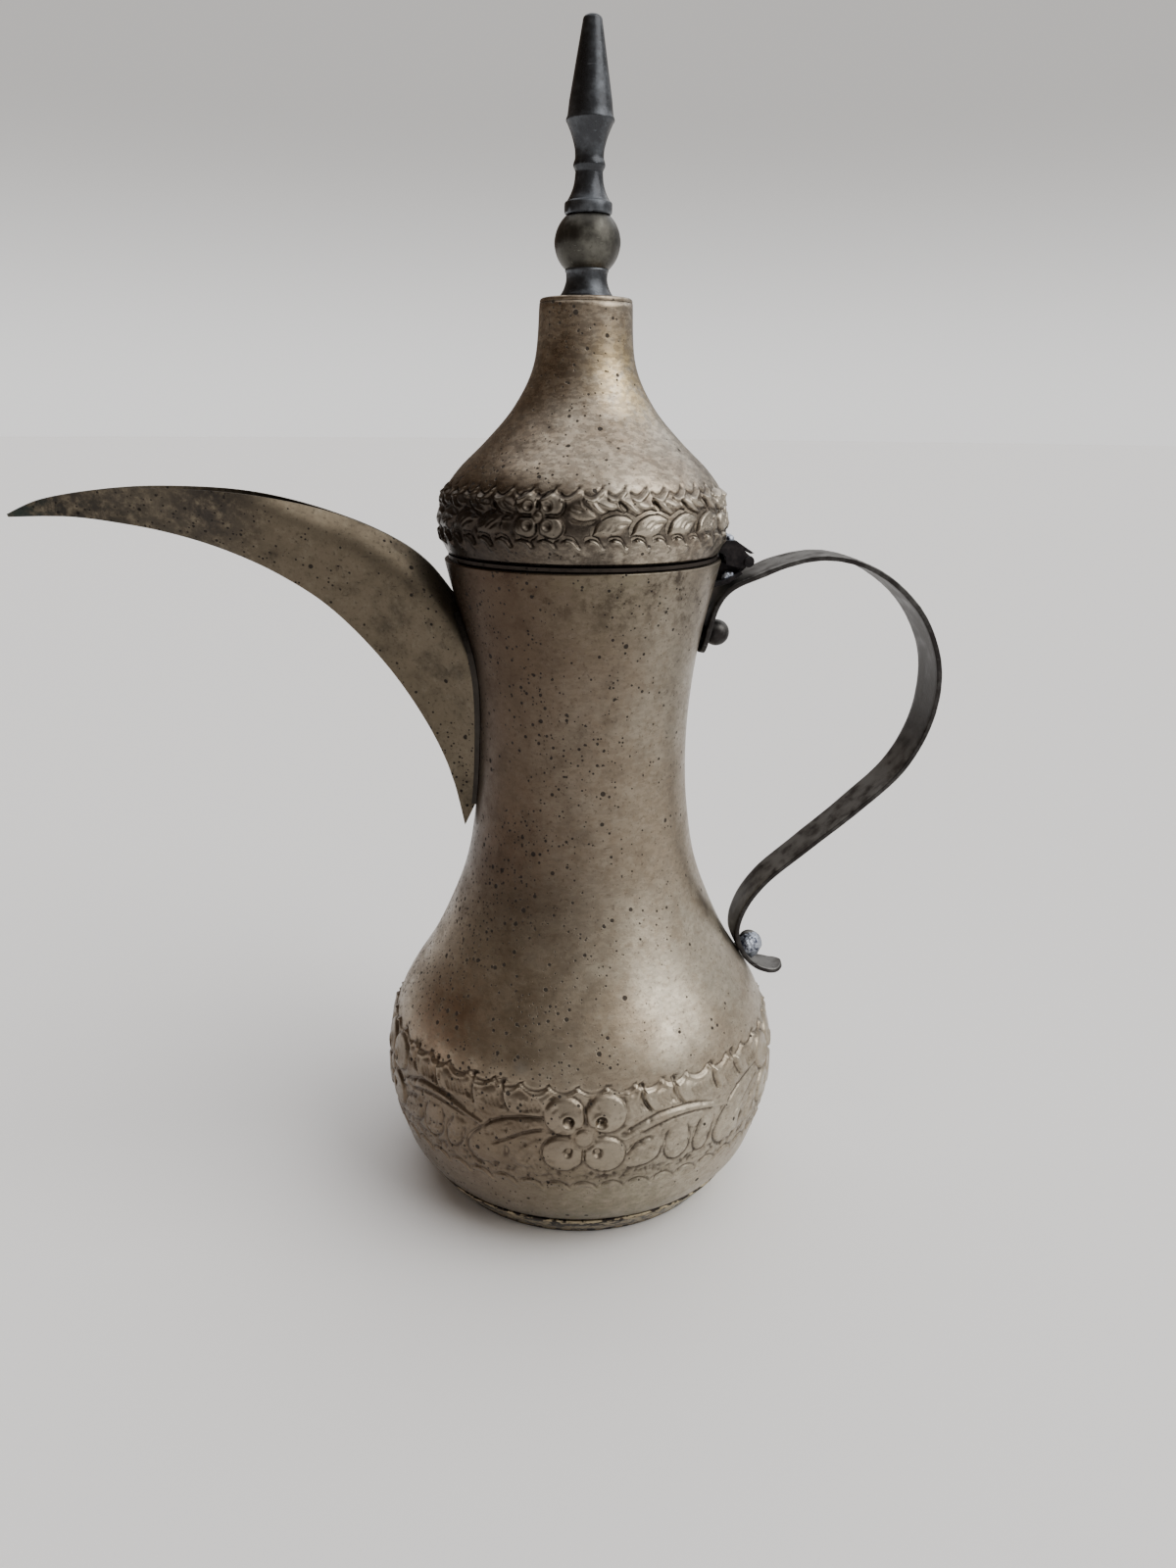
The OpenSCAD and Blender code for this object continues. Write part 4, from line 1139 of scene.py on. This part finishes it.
def cheek_sheet(u):
    """The sheet's thickness, thinner at the spout's point."""
    return mid(0.45, 0.9, ease(0, 0.2, u))


def spout_at(u, v):
    """X and Z on a cheek, at u from the point to the pot and v from the keel to the top."""
    chord = mid(along(SPOUT_KEEL, u), along(SPOUT_TOP, u), v)
    z = mid(SPOUT_LOW, SPOUT_HIGH, v)
    r = radius_at(BODY_OUTER, z) + 0.1
    y = cheek_inside(1, v)
    end = np.array([-math.sqrt(r * r - y * y) - 2.4 * max(0, 1 - 10 * v), z])
    return chord + u**4 * (end - mid(along(SPOUT_KEEL, 1), along(SPOUT_TOP, 1), v))


def cheek(name, side, node):
    """One side of the beak: a bent sheet with an outer and an inner face. `side` is its sign of Y."""
    n, m = 96, 30
    outer, inner = [], []
    for i in range(n + 1):
        for j in range(m + 1):
            u, v = i / n, j / m
            x, z = spout_at(u, v)
            y = cheek_inside(u, v)
            outer.append((x, side * (y + cheek_sheet(u)), z))
            inner.append((x, side * y, z))
    points = np.array(outer + inner)
    dents = lumps(points, 0.07, 4 if side < 0 else 9)[:, 1] * 0.22
    u = np.tile(np.repeat(np.arange(n + 1) / n, m + 1), 2)
    points[:, 1] += dents * ease(0, 0.12, u) * (1 - ease(0.9, 1, u))
    o = len(outer)
    faces = []
    for i in range(n):
        for j in range(m):
            a = i * (m + 1) + j
            quad = (a, a + 1, a + m + 2, a + m + 1)
            faces += [quad, tuple(q + o for q in quad)[::-1]]
    edge = list(range(m)) + [i * (m + 1) + m for i in range(n)]
    edge += [n * (m + 1) + j for j in range(m, 0, -1)] + [i * (m + 1) for i in range(n, 0, -1)]
    for a, b in zip(edge, edge[1:] + edge[:1]):
        faces.append((a, a + o, b + o, b))
    if side < 0:
        faces = [f[::-1] for f in faces]
    piece = new_piece(name, points, faces, "pot", SPOUT, node, flat_above=35)
    bevel = piece.modifiers.new("edges", "BEVEL")
    bevel.width = 0.16 * MM
    bevel.segments = 2
    bevel.limit_method = "ANGLE"
    bevel.angle_limit = math.radians(50)


cheek("cheek_near", -1, "spout_cheek_left")
cheek("cheek_far", 1, "spout_cheek_right")

# ---- Finish of the CAD nodes that stay as they are ----

FINISHES = {
    "base_disc": FOOT, "spout_keel_seam": SEAM, "spout_crown_seam": SEAM, "spout_solder": SEAM,
    "upper_rivet": STEEL, "lower_rivet": STEEL, "body_hinge_lug": HINGE, "hinge_pin": HINGE,
    "lid_collar": COLLAR, "finial_stud": FINIAL, "finial_washer": FINIAL, "finial_nut": FINIAL,
    "lid_hinge_leaf": HINGE,
}
for node, material in FINISHES.items():
    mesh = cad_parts[node].data
    mesh.materials.clear()
    mesh.materials.append(material)


# ---- Camera, floor and light ----


CAMERA_PLACE = (-0.0298, -0.3296, 0.2263)
AZIMUTH, PITCH, ROLL = 5.5, 17.39, 0.46


def turn_about(axis, degrees):
    return Matrix.Rotation(math.radians(degrees), 4, axis)


camera_data = bpy.data.cameras.new("camera")
camera_data.lens = 27.05
camera_data.sensor_width = 36
camera_data.clip_start = 0.01
camera = bpy.data.objects.new("camera", camera_data)
aim = turn_about("Z", -AZIMUTH) @ turn_about("X", 90 - PITCH) @ turn_about("Z", ROLL)
camera.matrix_world = Matrix.Translation(CAMERA_PLACE) @ aim
bpy.context.scene.collection.objects.link(camera)
bpy.context.scene.camera = camera

FLOOR_RINGS = (1, 400, 2000, 12000)
FLOOR_COUNT = 64
points, faces = skin([ring(r, 0, FLOOR_COUNT) for r in FLOOR_RINGS])
floor_mesh = bpy.data.meshes.new("floor")
floor_mesh.from_pydata([tuple(p) for p in points * MM], [], faces + [tuple(range(FLOOR_COUNT))])
floor = bpy.data.objects.new("floor", floor_mesh)
bpy.context.scene.collection.objects.link(floor)
paper = bpy.data.materials.new("paper")
paper.use_nodes = True
surface = paper.node_tree.nodes["Principled BSDF"].inputs
surface["Base Color"].default_value = (0.90, 0.885, 0.87, 1)
surface["Roughness"].default_value = 0.9
floor_mesh.materials.append(paper)


def sun(name, energy, angle, azimuth, elevation, colour):
    """A soft distant light that comes from this azimuth (0 is +X) and elevation."""
    data = bpy.data.lights.new(name, "SUN")
    data.energy = energy
    data.angle = math.radians(angle)
    data.color = colour
    lamp = bpy.data.objects.new(name, data)
    a, e = math.radians(azimuth), math.radians(elevation)
    toward = Vector((math.cos(a) * math.cos(e), math.sin(a) * math.cos(e), math.sin(e)))
    lamp.rotation_euler = toward.to_track_quat("Z", "Y").to_euler()
    bpy.context.scene.collection.objects.link(lamp)


sun("window", 1.9, 50, -28, 40, (1.0, 0.99, 0.97))
sun("sky", 1.95, 90, 50, 68, (0.95, 0.97, 1.0))

world = bpy.data.worlds.new("studio")
world.use_nodes = True
bpy.context.scene.world = world

# The room is dim and warm on the spout's side and pale on the handle's. The camera sees a plain wall.
room = Nodes(world.node_tree)
direction = room.add("ShaderNodeTexCoord").outputs["Generated"]
looking = room.add("ShaderNodeSeparateXYZ", {"Vector": direction}).outputs
sideways = room.math("MULTIPLY_ADD", looking["Y"], -0.25, looking["X"])
around = room.mix((0.135, 0.10, 0.074), (0.62, 0.61, 0.60), room.span(sideways, -0.75, 1.0))
wall = room.mix((1.18, 1.165, 1.15), (0.62, 0.60, 0.58), room.span(looking["Z"], 0.0, 0.22))
seen = room.add("ShaderNodeLightPath").outputs["Is Camera Ray"]
room.put(world.node_tree.nodes["Background"].inputs["Color"], room.mix(around, wall, seen))
